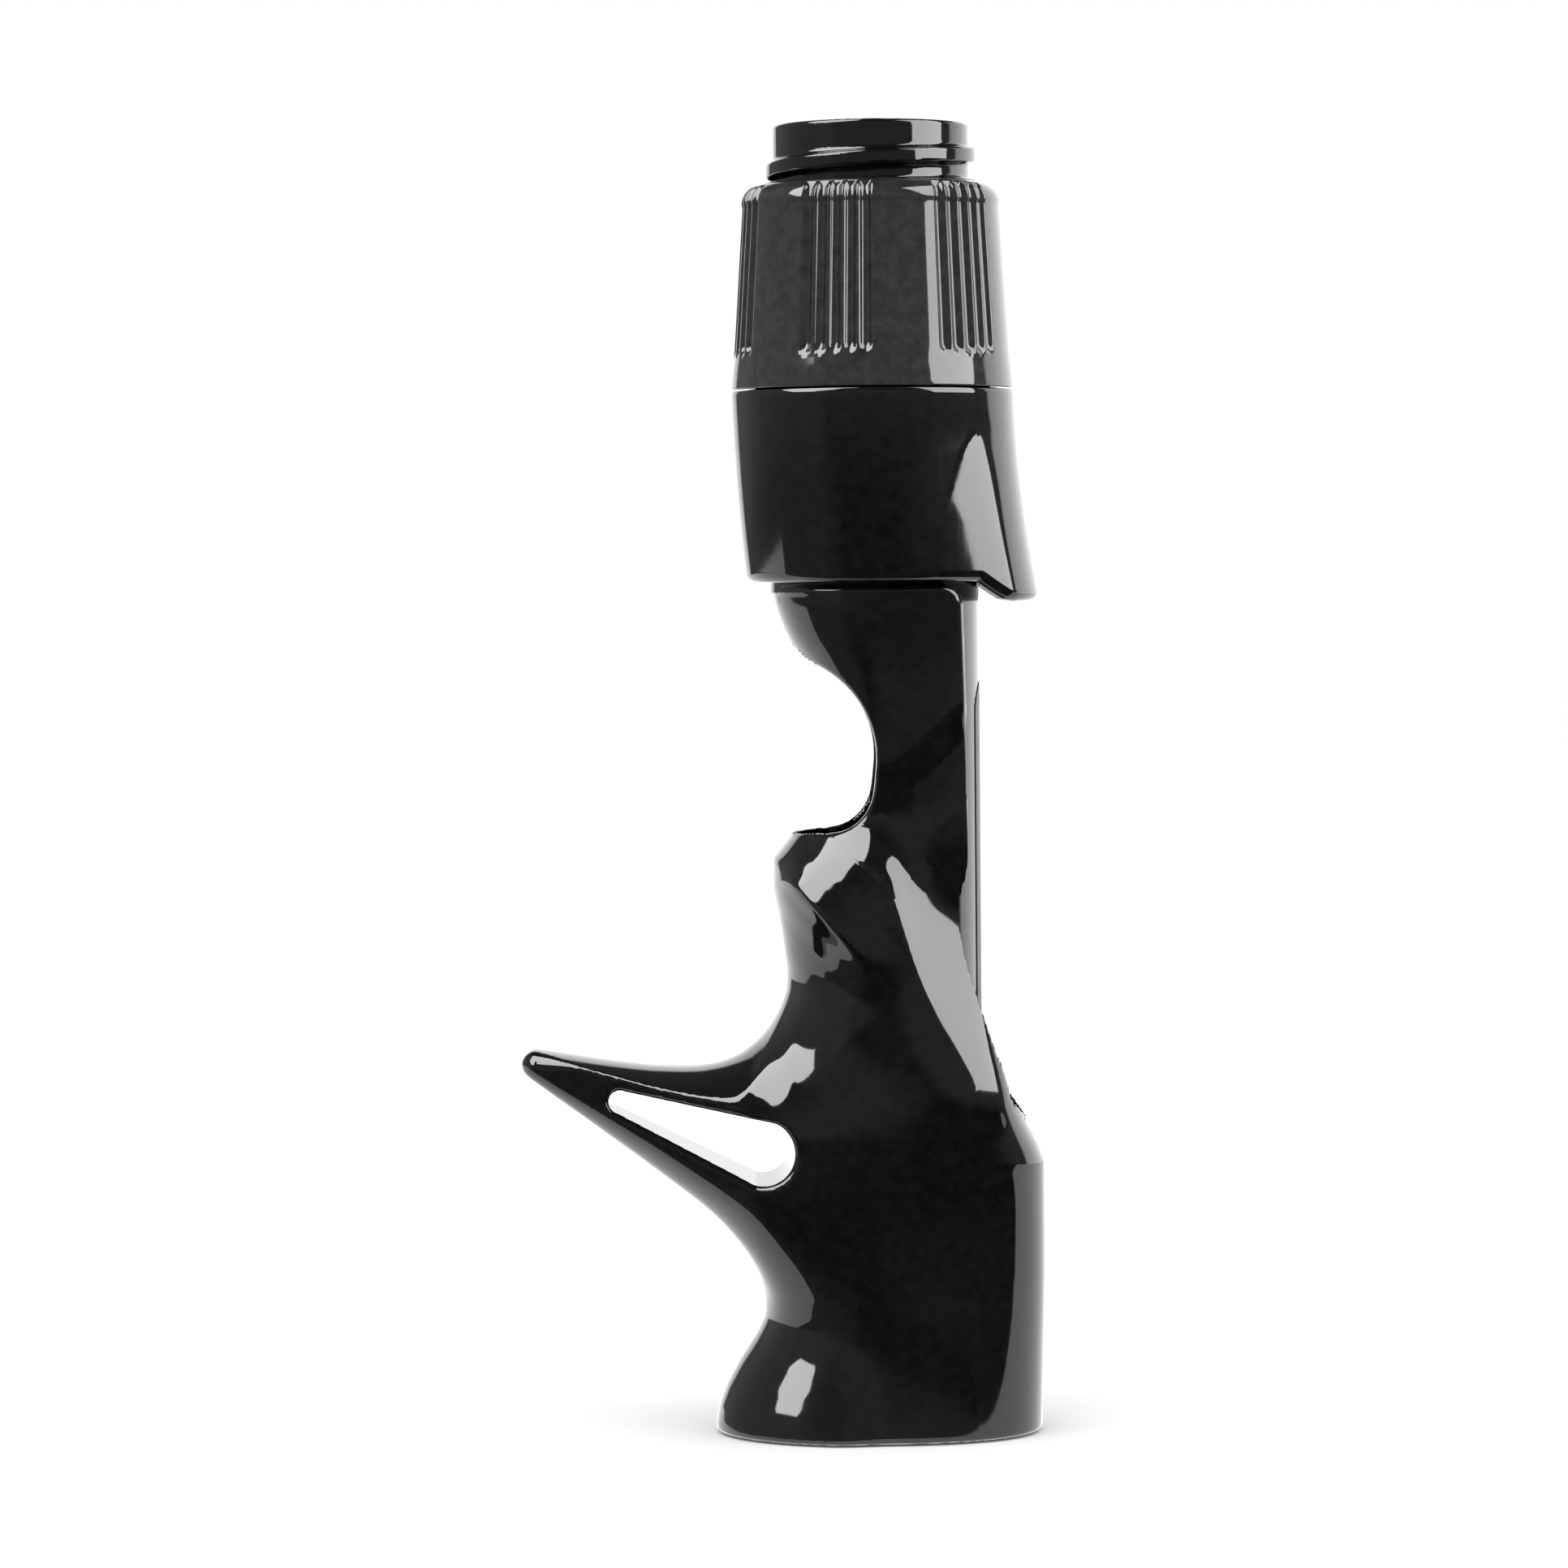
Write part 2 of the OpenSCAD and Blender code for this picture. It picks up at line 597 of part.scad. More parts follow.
// Half the outline of the nut, from the axis outwards.
function nut_outline() = [
    [0, nut_z], [nut_low_r, nut_z], [nut_low_r - 0.12, nut_z + nut_h * 0.09],
    [nut_low_r - 0.35, nut_z + nut_h * 0.17],
    [nut_top_r, nut_top_z - nut_shoulder_r],
    for (a = [15:15:90]) [
        nut_top_r - nut_shoulder_r + nut_shoulder_r * cos(a), nut_top_z - nut_shoulder_r + nut_shoulder_r * sin(a)
    ],
    [0, nut_top_z]
];

module flute() {
    low = nut_z + flute_low;
    high = nut_top_z - 0.8;
    rise = high - low;
    lean = atan((nut_low_r - 0.35 - nut_top_r) / (nut_h * 0.83 - nut_shoulder_r));
    r = (flute_w ^ 2 / 4 + flute_depth ^ 2) / (2 * flute_depth);
    face_r = nut_low_r - 0.35 - (flute_low - nut_h * 0.17) * tan(lean);
    translate([face_r - flute_depth + r, 0, low]) rotate([0, -lean, 0])
        rotate_extrude($fn = 24) intersection() {
            union() {
                translate([0, r]) circle(r, $fn = 24);
                translate([0, r]) square([r, rise - 2 * r]);
                translate([0, rise - r]) circle(r, $fn = 24);
            }
            square([r, rise]);
        }
}

module lock_nut() color([0.05, 0.05, 0.05]) {
    difference() {
        rotate_extrude($fn = fine) polygon(nut_outline());
        translate([0, 0, nut_z - over]) cylinder(r = crest_r + play, h = nut_h + 2 * over, $fn = fine);
        translate([0, 0, nut_z - over]) cylinder(r = nut_seat_r, h = collar_room_z - nut_z + over, $fn = fine);
        translate([0, 0, ring_z - play / 2]) cylinder(r = ring_out_r + play / 2, h = ring_h + play, $fn = fine);
        for (g = [0:flute_groups - 1], i = [0:flutes - 1])
            rotate([0, 0, -106.5 + g * 360 / flute_groups + (i - (flutes - 1) / 2) * flute_step]) flute();
    }
    thread_ridge(
        nut_thread_low_z, nut_thread_top_z, thread_mark_z - thread_pitch / 2,
        root_r + play, crest_r + play + 0.3, 0.75, 1.15, false
    );
}

seat_body();
foot_pad();
rear_hood_liner();
sliding_hood();
front_hood_liner();
snap_ring();
lock_nut();
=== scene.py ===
import math

import bpy
import numpy as np
from mathutils import Matrix, Vector


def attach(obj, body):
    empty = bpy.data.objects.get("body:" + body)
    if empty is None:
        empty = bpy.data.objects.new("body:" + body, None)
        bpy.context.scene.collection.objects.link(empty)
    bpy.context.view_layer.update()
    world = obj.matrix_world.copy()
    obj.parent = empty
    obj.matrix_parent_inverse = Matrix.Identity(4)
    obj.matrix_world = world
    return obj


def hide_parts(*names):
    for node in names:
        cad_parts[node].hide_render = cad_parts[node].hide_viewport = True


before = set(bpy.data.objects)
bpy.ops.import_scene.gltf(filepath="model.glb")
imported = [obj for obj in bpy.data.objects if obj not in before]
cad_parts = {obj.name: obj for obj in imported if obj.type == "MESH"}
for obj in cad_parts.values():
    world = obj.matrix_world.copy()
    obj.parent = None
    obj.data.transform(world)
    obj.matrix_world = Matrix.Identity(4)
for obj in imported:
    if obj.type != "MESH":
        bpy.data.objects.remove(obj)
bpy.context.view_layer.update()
bpy.context.scene.view_settings.view_transform = "Standard"

MM = 0.001

# ---------------------------------------------------------------- sizes, in millimetres
# Heights run from the rear face to the threaded end. The reel's side is at positive x and the
# trigger's side at negative x. R is a radius, LOW and TOP are heights, HALF is half a width.
SEAT_LEN = 122.0
BORE_R = 7.75
BARREL_R = 9.75
STEP_R = 0.2
REAR_EDGE_R = 0.45
SKIN_SPLIT = 97.9  # The seat's skin is made in two parts, which meet here, inside the nut.

# Thread and key way
ROOT_R, CREST_R = 9.2, 9.85
PITCH = 2.9
THREAD_MARK = 117.7  # A crest crosses the trigger's side at this height.
THREAD_LOW, THREAD_END = 98.45, 121.2
THREAD_FADE_LOW, THREAD_FADE_TOP, THREAD_FADE = 99.6, 120.35, 0.9
RIDGE_BURIED = 0.35
FLANK_HALF, FLANK_ACROSS, FLANK_RISE = 0.62, 0.92, 0.36
KEY_HALF, KEY_FLOOR = 1.8, 8.9

# Bed for the reel's foot: shoulder, channel under the fixed hood and recess for the pad
SHOULDER_Z, SHOULDER_R = 79.1, 1.7
RAIL_R = 0.5
ROOF_IN_R = 13.75
CHANNEL_HALF, CHANNEL_LOW = 7.4, 15.0
CHANNEL_CORNER_R, CHANNEL_EDGE_R = 1.5, 0.3
PAD_HALF, PAD_LOW, PAD_ROUND_Z, PAD_GAP = 2.9, 16.7, 67.1, 0.35
PAD_FLOOR_R, PAD_OPEN_R = 8.85, 11.5

# Window, seen from the side: an upper circle, a lower circle and a block, as (x, height, radius)
WINDOW_UPPER = (-9.58, 63.18, 9.52)
WINDOW_LOWER = (-4.5, 60.35, 4.08)
WINDOW_UPPER_FROM = 59.0
WINDOW_BLOCK_LOW, WINDOW_BLOCK_TOP = 56.27, 62.0
WINDOW_EDGE_R = 0.32
# A broad rounding under the window, which fades out towards the trigger's side and upwards
WINDOW_ROUND, WINDOW_ROUND_WIDTH = 2.3, 7.0
WINDOW_ROUND_X, WINDOW_ROUND_X_RUN = -9.2, 3.2
WINDOW_ROUND_TOP, WINDOW_ROUND_RUN = 63, 7

# Ridge, which runs down and forwards from the chin, and the hollow for the finger under it
CHIN = (-9.6, 53.7)
RIDGE_ALONG = (0.663, -0.748)
RIDGE_ACROSS = (0.748, 0.663)
RIDGE_FADE_FROM, RIDGE_FADE_RUN = 8, 9
HOLLOW_DEPTH = 1.35
LIP_HEIGHT = 1.0
LIP_FROM, LIP_RUN = 0.5, 3

# Grip
FACET_SOFT = 1.6
NECK_STEP = 1.45
FLARE_X, FLARE_RUN = 1, 6

# Trigger and its slot, whose ends are given as (x, height, radius)
TRIGGER_BLEND = 7.5
CROWN_R, CROWN_REACH = 14.0, 11
CROWN_FROM, CROWN_RUN = 8, 4
TIP = (31.97, 34.6)
TIP_R = 1.4
TIP_ANGLES = (-54.3, 81.5)
BLADE_ROOT_X = 2
SLOT_WIDE = (-10.95, 26.8, 2.6)
SLOT_NARROW = (-24.1, 31.3, 0.85)
SLOT_DRAFT, SLOT_EDGE_R = 0.05, 0.45

# Sliding hood
HOOD_LOW, HOOD_TOP = 79.45, 97.25
HOOD_TOP_R = 13.27
HOOD_BORE_R = 10.2
HOOD_TAPER = 1.37
HOOD_RIM_R = 0.9
BILL_LOW = 77.55
BILL_REACH = 1.93
RIDGE_HALF, RIDGE_HALF_DRAWN = 8.9, 1.6
RIDGE_X, RIDGE_X_DRAWN = 9.55, 3.4
CHEEK_SWELL, CHEEK_FADE = 0.6, 28
BILL_JOIN_LEAST, BILL_JOIN = 0.02, 0.7
POCKET_HALF, POCKET_LEN, POCKET_ANGLE = 6.3, 12, 45
POCKET_LOW_R, POCKET_TOP_R = 13.9, 12.0
COLLAR_R, RIM_R, RIM_TOP = 10.95, 11.45, 101.05

# Lock nut
NUT_LOW, NUT_TOP = 97.4, 116.5
NUT_LOW_R, NUT_TOP_R = 13.25, 12.0
NUT_BORE_R, NUT_SEAT_R, NUT_SEAT_TOP = 10.15, 11.75, 101.35
NUT_WALL_TOP = 114.6
FLUTE_STEP, FLUTE_MID = 6.5, -106.5
FLUTE_LOW, FLUTE_TOP = 101.15, 116.4
FLUTE_DEPTH, FLUTE_HALF, FLUTE_POWER = 0.46, 0.58, 0.85
FLUTE_ARC_R = 12.4

CURVE_STEP, CURVE_MARGIN = 0.05, 6
SLOPE_STEP = 0.1
GRADIENT_STEP = 0.02
SKIN_BLOCK, SKIN_ROUNDS = 8, 2
FIELD_BATCH = 400000


# ---------------------------------------------------------------- curves and soft joins
def curve(knots, blur):
    """A smooth function of one length through a few knots, with its corners blurred over about
    the given length."""
    knots = np.array(knots, float)
    low, high = knots[0, 0], knots[-1, 0]
    u = np.arange(low - CURVE_MARGIN, high + CURVE_MARGIN + CURVE_STEP, CURVE_STEP)
    v = np.interp(u, knots[:, 0], knots[:, 1])
    first = (knots[1, 1] - knots[0, 1]) / (knots[1, 0] - knots[0, 0])
    last = (knots[-1, 1] - knots[-2, 1]) / (knots[-1, 0] - knots[-2, 0])
    v = np.where(u < low, knots[0, 1] + (u - low) * first, v)
    v = np.where(u > high, knots[-1, 1] + (u - high) * last, v)
    reach = int(3 * blur / CURVE_STEP)
    bell = np.exp(-0.5 * (np.arange(-reach, reach + 1) * CURVE_STEP / blur) ** 2)
    bell /= bell.sum()
    padded = np.concatenate([2 * v[0] - v[reach:0:-1], v, 2 * v[-1] - v[-2:-reach - 2:-1]])
    v = np.convolve(padded, bell, mode="valid")
    return lambda at: np.interp(at, u, v)


def slope_of(line, at):
    return (line(at + SLOPE_STEP) - line(at - SLOPE_STEP)) / (2 * SLOPE_STEP)


def ease(s):
    k = np.clip(s, 0, 1)
    return k * k * (3 - 2 * k)


def soft_max(a, b, k):
    h = np.maximum(k - np.abs(a - b), 0) / k
    return np.maximum(a, b) + h * h * k / 4


def soft_min(a, b, k):
    return -soft_max(-a, -b, k)


def round_max(a, b, r):
    """What lies in both solids, whose faces meet in an edge of the given radius."""
    corner = np.hypot(np.maximum(a + r, 0), np.maximum(b + r, 0))
    return corner - r + np.minimum(np.maximum(a, b) + r, 0)


def cut(body, hole, r):
    return round_max(body, -hole, r)


# ---------------------------------------------------------------- skins of implicit forms
def lattice_lines(stops):
    """Lattice lines from (place, spacing) stops. The spacing changes evenly between two stops."""
    lines, at = [stops[0][0]], stops[0][0]
    places = [s[0] for s in stops]
    gaps = [s[1] for s in stops]
    while at < places[-1]:
        at += float(np.interp(at, places, gaps))
        lines.append(at)
    return np.array(lines)


def gradient(field, p):
    g = np.empty_like(p)
    for i in range(3):
        d = np.zeros(3)
        d[i] = GRADIENT_STEP
        g[:, i] = (field(p + d) - field(p - d)) / (2 * GRADIENT_STEP)
    return g


def settle(field, p, times):
    """Moves points along the gradient until the field is zero there."""
    for _ in range(times):
        g = gradient(field, p)
        f = field(p)
        move = g * (f / np.maximum((g * g).sum(1), 0.05))[:, None]
        length = np.linalg.norm(move, axis=1, keepdims=True)
        p = p - move * np.minimum(1, 0.25 / np.maximum(length, 1e-9))
    return p


def cells_near_surface(field, xs, ys, zs):
    """Lattice cells in all blocks that the surface may pass through."""
    sizes = [len(lines) for lines in (xs, ys, zs)]
    starts = (np.arange(0, n - 1, SKIN_BLOCK) for n in sizes)
    gi, gj, gk = (a.ravel() for a in np.meshgrid(*starts, indexing="ij"))
    ends = [np.minimum(g + SKIN_BLOCK, n - 1) for g, n in zip((gi, gj, gk), sizes)]
    low = np.stack([xs[gi], ys[gj], zs[gk]], 1)
    high = np.stack([xs[ends[0]], ys[ends[1]], zs[ends[2]]], 1)
    near = np.abs(field((low + high) / 2)) < np.linalg.norm(high - low, axis=1)
    side = range(SKIN_BLOCK)
    offsets = np.array([(i, j, k) for i in side for j in side for k in side])
    start = np.stack([gi[near], gj[near], gk[near]], 1)
    cells = (start[:, None, :] + offsets[None]).reshape(-1, 3)
    return cells[(cells < np.array(sizes) - 1).all(1)]


def skin(field, xs, ys, zs):
    """The surface where the field is zero, as quads over a lattice, with exact places and
    normals."""
    ny, nz = len(ys), len(zs)
    cells = cells_near_surface(field, xs, ys, zs)
    corner = np.array([(i, j, k) for i in (0, 1) for j in (0, 1) for k in (0, 1)])

    def number(c):
        return (c[..., 0].astype(np.int64) * ny + c[..., 1]) * nz + c[..., 2]

    ids = number(cells[:, None, :] + corner[None])
    points, back = np.unique(ids, return_inverse=True)
    pi, rest = np.divmod(points, ny * nz)
    pj, pk = np.divmod(rest, nz)
    place = np.stack([xs[pi], ys[pj], zs[pk]], 1)
    value = np.concatenate([field(place[s:s + FIELD_BATCH])
                            for s in range(0, len(place), FIELD_BATCH)])
    value = np.where(np.abs(value) < 1e-9, 1e-9, value)
    v = value[back.reshape(ids.shape)]
    inside = v < 0
    live = inside.any(1) & ~inside.all(1)
    cells, v, inside = cells[live], v[live], inside[live]

    # One point in each cell that the surface crosses, at the mean of its edges' crossings
    low = np.stack([xs[cells[:, 0]], ys[cells[:, 1]], zs[cells[:, 2]]], 1)
    size = np.stack([xs[cells[:, 0] + 1], ys[cells[:, 1] + 1], zs[cells[:, 2] + 1]], 1) - low
    total = np.zeros((len(cells), 3))
    count = np.zeros(len(cells))
    for a in range(8):
        for axis in range(3):
            if corner[a, axis]:
                continue
            b = a + (4, 2, 1)[axis]
            cross = inside[:, a] != inside[:, b]
            t = v[cross, a] / (v[cross, a] - v[cross, b])
            at = np.repeat(corner[a][None].astype(float), cross.sum(), 0)
            at[:, axis] += t
            total[cross] += at
            count[cross] += 1
    verts = low + size * total / count[:, None]

    # One quad round each lattice edge that the surface crosses
    cell_ids = number(cells)
    order = np.argsort(cell_ids)
    sorted_ids = cell_ids[order]

    def vertex(c):
        want = number(c)
        at = np.clip(np.searchsorted(sorted_ids, want), 0, len(order) - 1)
        return np.where(sorted_ids[at] == want, order[at], -1)

    quads = []
    for axis in range(3):
        cross = inside[:, 0] != inside[:, (4, 2, 1)[axis]]
        c = cells[cross]
        one, two = np.zeros(3, int), np.zeros(3, int)
        one[(axis + 1) % 3], two[(axis + 2) % 3] = 1, 1
        quad = np.stack([vertex(c), vertex(c - one), vertex(c - one - two), vertex(c - two)], 1)
        flip = ~inside[cross, 0]
        quad[flip] = quad[flip][:, ::-1]
        quads.append(quad[(quad >= 0).all(1)])
    quads = np.concatenate(quads)

    # Smoothing, with the points led back to the surface after each round
    verts = settle(field, verts, 2)
    edges = np.concatenate([quads[:, [0, 1]], quads[:, [1, 2]], quads[:, [2, 3]], quads[:, [3, 0]]])
    edges = np.concatenate([edges, edges[:, ::-1]])
    start, end = edges[:, 0], edges[:, 1]
    degree = np.bincount(start, minlength=len(verts))[:, None]
    for _ in range(SKIN_ROUNDS):
        mean = np.stack([np.bincount(start, verts[end, i], minlength=len(verts))
                         for i in range(3)], 1)
        verts = settle(field, verts * 0.4 + 0.6 * mean / np.maximum(degree, 1), 1)
    verts = settle(field, verts, 2)
    normals = gradient(field, verts)
    normals /= np.maximum(np.linalg.norm(normals, axis=1, keepdims=True), 1e-9)
    return verts, quads, normals


def link_object(name, data):
    obj = bpy.data.objects.new(name, data)
    bpy.context.scene.collection.objects.link(obj)
    return obj


def mesh_piece(name, verts, faces, normals=None):
    mesh = bpy.data.meshes.new(name)
    mesh.from_pydata((verts * MM).tolist(), [], faces.tolist())
    mesh.update()
    mesh.polygons.foreach_set("use_smooth", [True] * len(mesh.polygons))
    if normals is not None:
        mesh.normals_split_custom_set_from_vertices(normals.tolist())
    return link_object(name, mesh)


# ---------------------------------------------------------------- the seat body
# Outline of the grip towards the trigger and towards the reel, by height
back_edge = curve([
    (-2, 15.5), (0.8, 15.45), (2.6, 15.1), (4.4, 14.4), (6.6, 13.2), (8.9, 11.7), (10.8, 10.55),
    (12.8, 10.05), (16, 10.0), (22, 10.0), (30, 9.7), (38, 9.4), (41, 9.55), (44, 9.95),
    (47.5, 10.3), (50, 10.45), (52, 10.3), (53.57, 9.85), (56.74, 7.3), (58, 6.5), (61, 5.3),
    (65, 4.9), (68, 5.1), (70.5, 5.9), (72.3, 6.95), (73.7, 7.85), (74.8, 8.37), (76, 8.84),
    (77.1, 9.2), (79.2, 9.68)], 0.3)
front_edge = curve([
    (0, 15.15), (6, 15.3), (11, 15.45), (15, 15.55), (25.3, 15.57), (26.75, 15.05), (29, 13.95),
    (31.3, 12.98), (33.6, 12.15), (35.9, 11.45), (38.2, 10.95), (40.5, 10.7), (43, 10.7),
    (47, 11.1), (52, 11.8), (58, 12.0), (79, 11.9)], 0.25)
# The line between the back half and the front half of each section
middle = curve([(0, 0), (48, 0), (58, 0.8), (79, 0.8)], 2)
# How square each half's section is: 2 is an ellipse, and higher powers are squarer.
back_power = curve([
    (0, 2.05), (4, 2.03), (11, 1.9), (15, 1.9), (21, 2.1), (53, 2.1), (60, 2.0), (66, 2.0),
    (71, 2.4), (75, 2.3), (79, 2.1)], 1.5)
front_power = curve([
    (0, 2.3), (24, 2.3), (28, 2.6), (31, 3.4), (34, 4.4), (37, 5.0), (41, 5.0), (45, 4.2),
    (50, 3.2), (58, 2.7), (79, 2.7)], 1.4)
# A long facet bends each side in towards the rails. This is where it starts, and how far it turns.
facet_line = curve([
    (15, 24), (22, 17.5), (25, 13.6), (28.7, 10.9), (32.9, 8.0), (36, 6.2), (39.4, 4.7),
    (43, 3.6), (46, 3.3), (49, 3.5), (51, 4.4), (53, 5.8), (57, 8), (62, 11), (80, 20)], 1.0)
facet_turn = curve([(0, 30), (25, 29), (32, 27), (50, 27), (60, 32), (80, 32)], 2)
# Half the grip's width across the view
half_width = curve([
    (-2, 11.45), (0, 11.32), (3, 11.13), (8, 10.98), (14, 10.8), (20, 10.75), (30, 10.85),
    (38, 10.9), (50, 11.1), (60, 11.1), (72, 11.3), (79, 11.6)], 1.5)
# The back half flares out again towards the rear face.
flare = curve([
    (-2, 1.25), (0, 1.05), (3, 0.45), (5.5, -0.05), (8, -0.42), (11, -0.5), (15, -0.3), (21, 0),
    (30, 0)], 1.2)
# The sides draw in to the neck between these two heights, which depend on x.
neck_from = curve([(-12, 56), (0, 52), (1.8, 49), (3.4, 42), (6, 36), (9, 33), (16, 32)], 0.9)
neck_to = curve([(-12, 66), (0, 59), (4, 54), (8, 50), (16, 44)], 1.0)
# The rails that the reel's foot lies on, as x by height
rail_line = curve([
    (20, 25), (26, 19.5), (30, 15.8), (33, 13.1), (35, 11.7), (36.5, 10.95), (38.2, 10.42),
    (40.2, 9.86), (41.8, 9.4), (43, 9.0), (44.5, 8.8), (54, 8.7), (60, 8.5), (77, 8.03),
    (80, 7.95)], 0.5)
# Sections across the ridge
hollow_profile = curve([
    (-16, 0), (-13.5, 0.05), (-11, 0.28), (-9, 0.62), (-7.3, 0.9), (-5.8, 1.0), (-4, 0.94),
    (-2.4, 0.74), (-1.1, 0.42), (0, 0), (8, 0)], 0.22)
lip_profile = curve([
    (-6, 0), (-3, 0.05), (-1, 0.6), (0, 1), (1, 0.68), (2, 0.36), (3.2, 0.1), (4.5, 0)], 0.22)


def circle_2d(x, z, circle):
    return np.hypot(x - circle[0], z - circle[1]) - circle[2]


def window_2d(x, z):
    upper = np.maximum(circle_2d(x, z, WINDOW_UPPER), WINDOW_UPPER_FROM - z)
    lower = circle_2d(x, z, WINDOW_LOWER)
    block = np.maximum(x - WINDOW_LOWER[0], WINDOW_BLOCK_LOW - z)
    block = np.maximum(block, z - WINDOW_BLOCK_TOP)
    return soft_min(soft_min(upper, lower, 0.6), block, 0.3)


def slot_2d(x, z):
    """A slot that tapers from its wide round end to its narrow one."""
    ax, az, ra = SLOT_WIDE
    bx, bz, rb = SLOT_NARROW
    dx, dz = bx - ax, bz - az
    length = math.hypot(dx, dz)
    lean = (ra - rb) / length
    px, pz = x - ax, z - az
    along = (px * dx + pz * dz) / length
    across = np.abs(px * dz - pz * dx) / length
    t = np.clip((along + across * lean / math.sqrt(1 - lean * lean)) / length, 0, 1)
    return np.hypot(along - t * length, across) - (ra + (rb - ra) * t)


def pad_recess_2d(y, z):
    r = PAD_HALF + PAD_GAP
    front = np.hypot(y, z - PAD_ROUND_Z) - r
    rear = np.maximum(np.abs(y) - r, PAD_LOW - PAD_GAP - z)
    return np.where(z > PAD_ROUND_Z, front, rear)


def key_way(x, y, start):
    """The groove for the hood's key, which begins where start turns negative."""
    return np.maximum(np.maximum(np.abs(y) - KEY_HALF, KEY_FLOOR - x), start)


def ridge_offset(x, z):
    """How far the hollow lies below the plain side, less the lip that stands over it."""
    dx, dz = x - CHIN[0], z - CHIN[1]
    along = dx * RIDGE_ALONG[0] + dz * RIDGE_ALONG[1]
    across = dx * RIDGE_ACROSS[0] + dz * RIDGE_ACROSS[1]
    fade = 1 - ease((along - RIDGE_FADE_FROM) / RIDGE_FADE_RUN)
    lip = LIP_HEIGHT * lip_profile(across) * ease((along - LIP_FROM) / LIP_RUN)
    return fade * (HOLLOW_DEPTH * hollow_profile(across) - lip)


def sculpted_body(x, y, z):
    mid = middle(z)
    behind = x < mid
    reach = np.where(behind, back_edge(z) + mid, front_edge(z) - mid)
    power = np.where(behind, back_power(z), front_power(z))
    start = neck_from(x)
    drawn_in = NECK_STEP * ease((z - start) / (neck_to(x) - start))
    away = np.maximum(window_2d(x, z), 0) / WINDOW_ROUND_WIDTH
    near_window = np.clip(1 - away, 0, 1) ** 2
    near_window = near_window * ease((x - WINDOW_ROUND_X) / WINDOW_ROUND_X_RUN)
    half = half_width(z) + flare(z) * ease((FLARE_X - x) / FLARE_RUN) - drawn_in
    under_window = ease((WINDOW_ROUND_TOP - z) / WINDOW_ROUND_RUN)
    half = half - (WINDOW_ROUND - drawn_in) * near_window * under_window
    u = np.abs(x - mid) / reach
    v = np.abs(y) / half
    s = np.maximum(u ** power + v ** power, 1e-9)
    radial = s ** (1 / power)
    # Distance along the line to the axis, shortened where the line meets the wall aslant
    g = np.hypot(u ** (power - 1) / reach, v ** (power - 1) / half) * s ** (1 / power - 1)
    wall = (radial - 1) / np.maximum(g, 0.02)
    turn = np.radians(facet_turn(z))
    facet = (x - facet_line(z)) * np.sin(turn) + (np.abs(y) - half) * np.cos(turn)
    return soft_max(wall, facet, FACET_SOFT) + ridge_offset(x, z)


# The trigger's upper and lower outlines, half its width and its edges' radii, by distance from
# the axis
trigger_top = curve([
    (-6, 36.4), (9, 35.35), (13.2, 34.62), (17.6, 34.27), (21.4, 34.42), (25.9, 35.0),
    (29, 35.52), (31.97, 35.98), (40, 37.1)], 1.0)
trigger_low = curve([
    (-6, 4.6), (9, 15.6), (13.6, 19.25), (16.2, 21.3), (22.4, 25.95), (31.97, 32.85),
    (40, 38.6)], 0.9)
trigger_half = curve([(-4, 5), (3, 6.6), (8, 8.8), (11, 9.5), (31.97, 3.2), (40, 0.8)], 1.5)
top_round = curve([
    (0, 9), (7.5, 8.4), (9, 7.2), (10, 5.6), (11, 3.2), (12, 1.2), (13, 0.35), (14, 0.22),
    (28, 0.22), (30.5, 0.9), (32, 1.38), (40, 1.38)], 0.9)
low_round = curve([(0, 5.2), (12, 5), (20, 4), (27, 2.6), (31.97, 1.38), (40, 1.38)], 1)


def trigger_blade(x, y, z):
    u = -x
    top, low = trigger_top(u), trigger_low(u)
    thickness = np.maximum(top - low, 0.5)
    # The finger's side is crowned from edge to edge.
    crown = CROWN_R - np.sqrt(CROWN_R ** 2 - np.clip(np.abs(y), 0, CROWN_REACH) ** 2)
    depth = np.clip((z - low) / thickness, 0, 1)
    z = z + crown * ease(depth * 1.4) * ease((u - CROWN_FROM) / CROWN_RUN)
    above = (z - top) / np.hypot(1, slope_of(trigger_top, u))
    below = (low - z) / np.hypot(1, slope_of(trigger_low, u))
    du, dz = u - TIP[0], z - TIP[1]
    angle = np.degrees(np.arctan2(dz, du))
    at_tip = (angle > TIP_ANGLES[0]) & (angle < TIP_ANGLES[1])
    side = np.where(at_tip, np.hypot(du, dz) - TIP_R, np.maximum(above, below))
    share = np.clip((z - low) / thickness, 0, 1)
    r = low_round(u) + (top_round(u) - low_round(u)) * ease(share)
    return np.maximum(round_max(side, np.abs(y) - trigger_half(u), r), x - BLADE_ROOT_X)


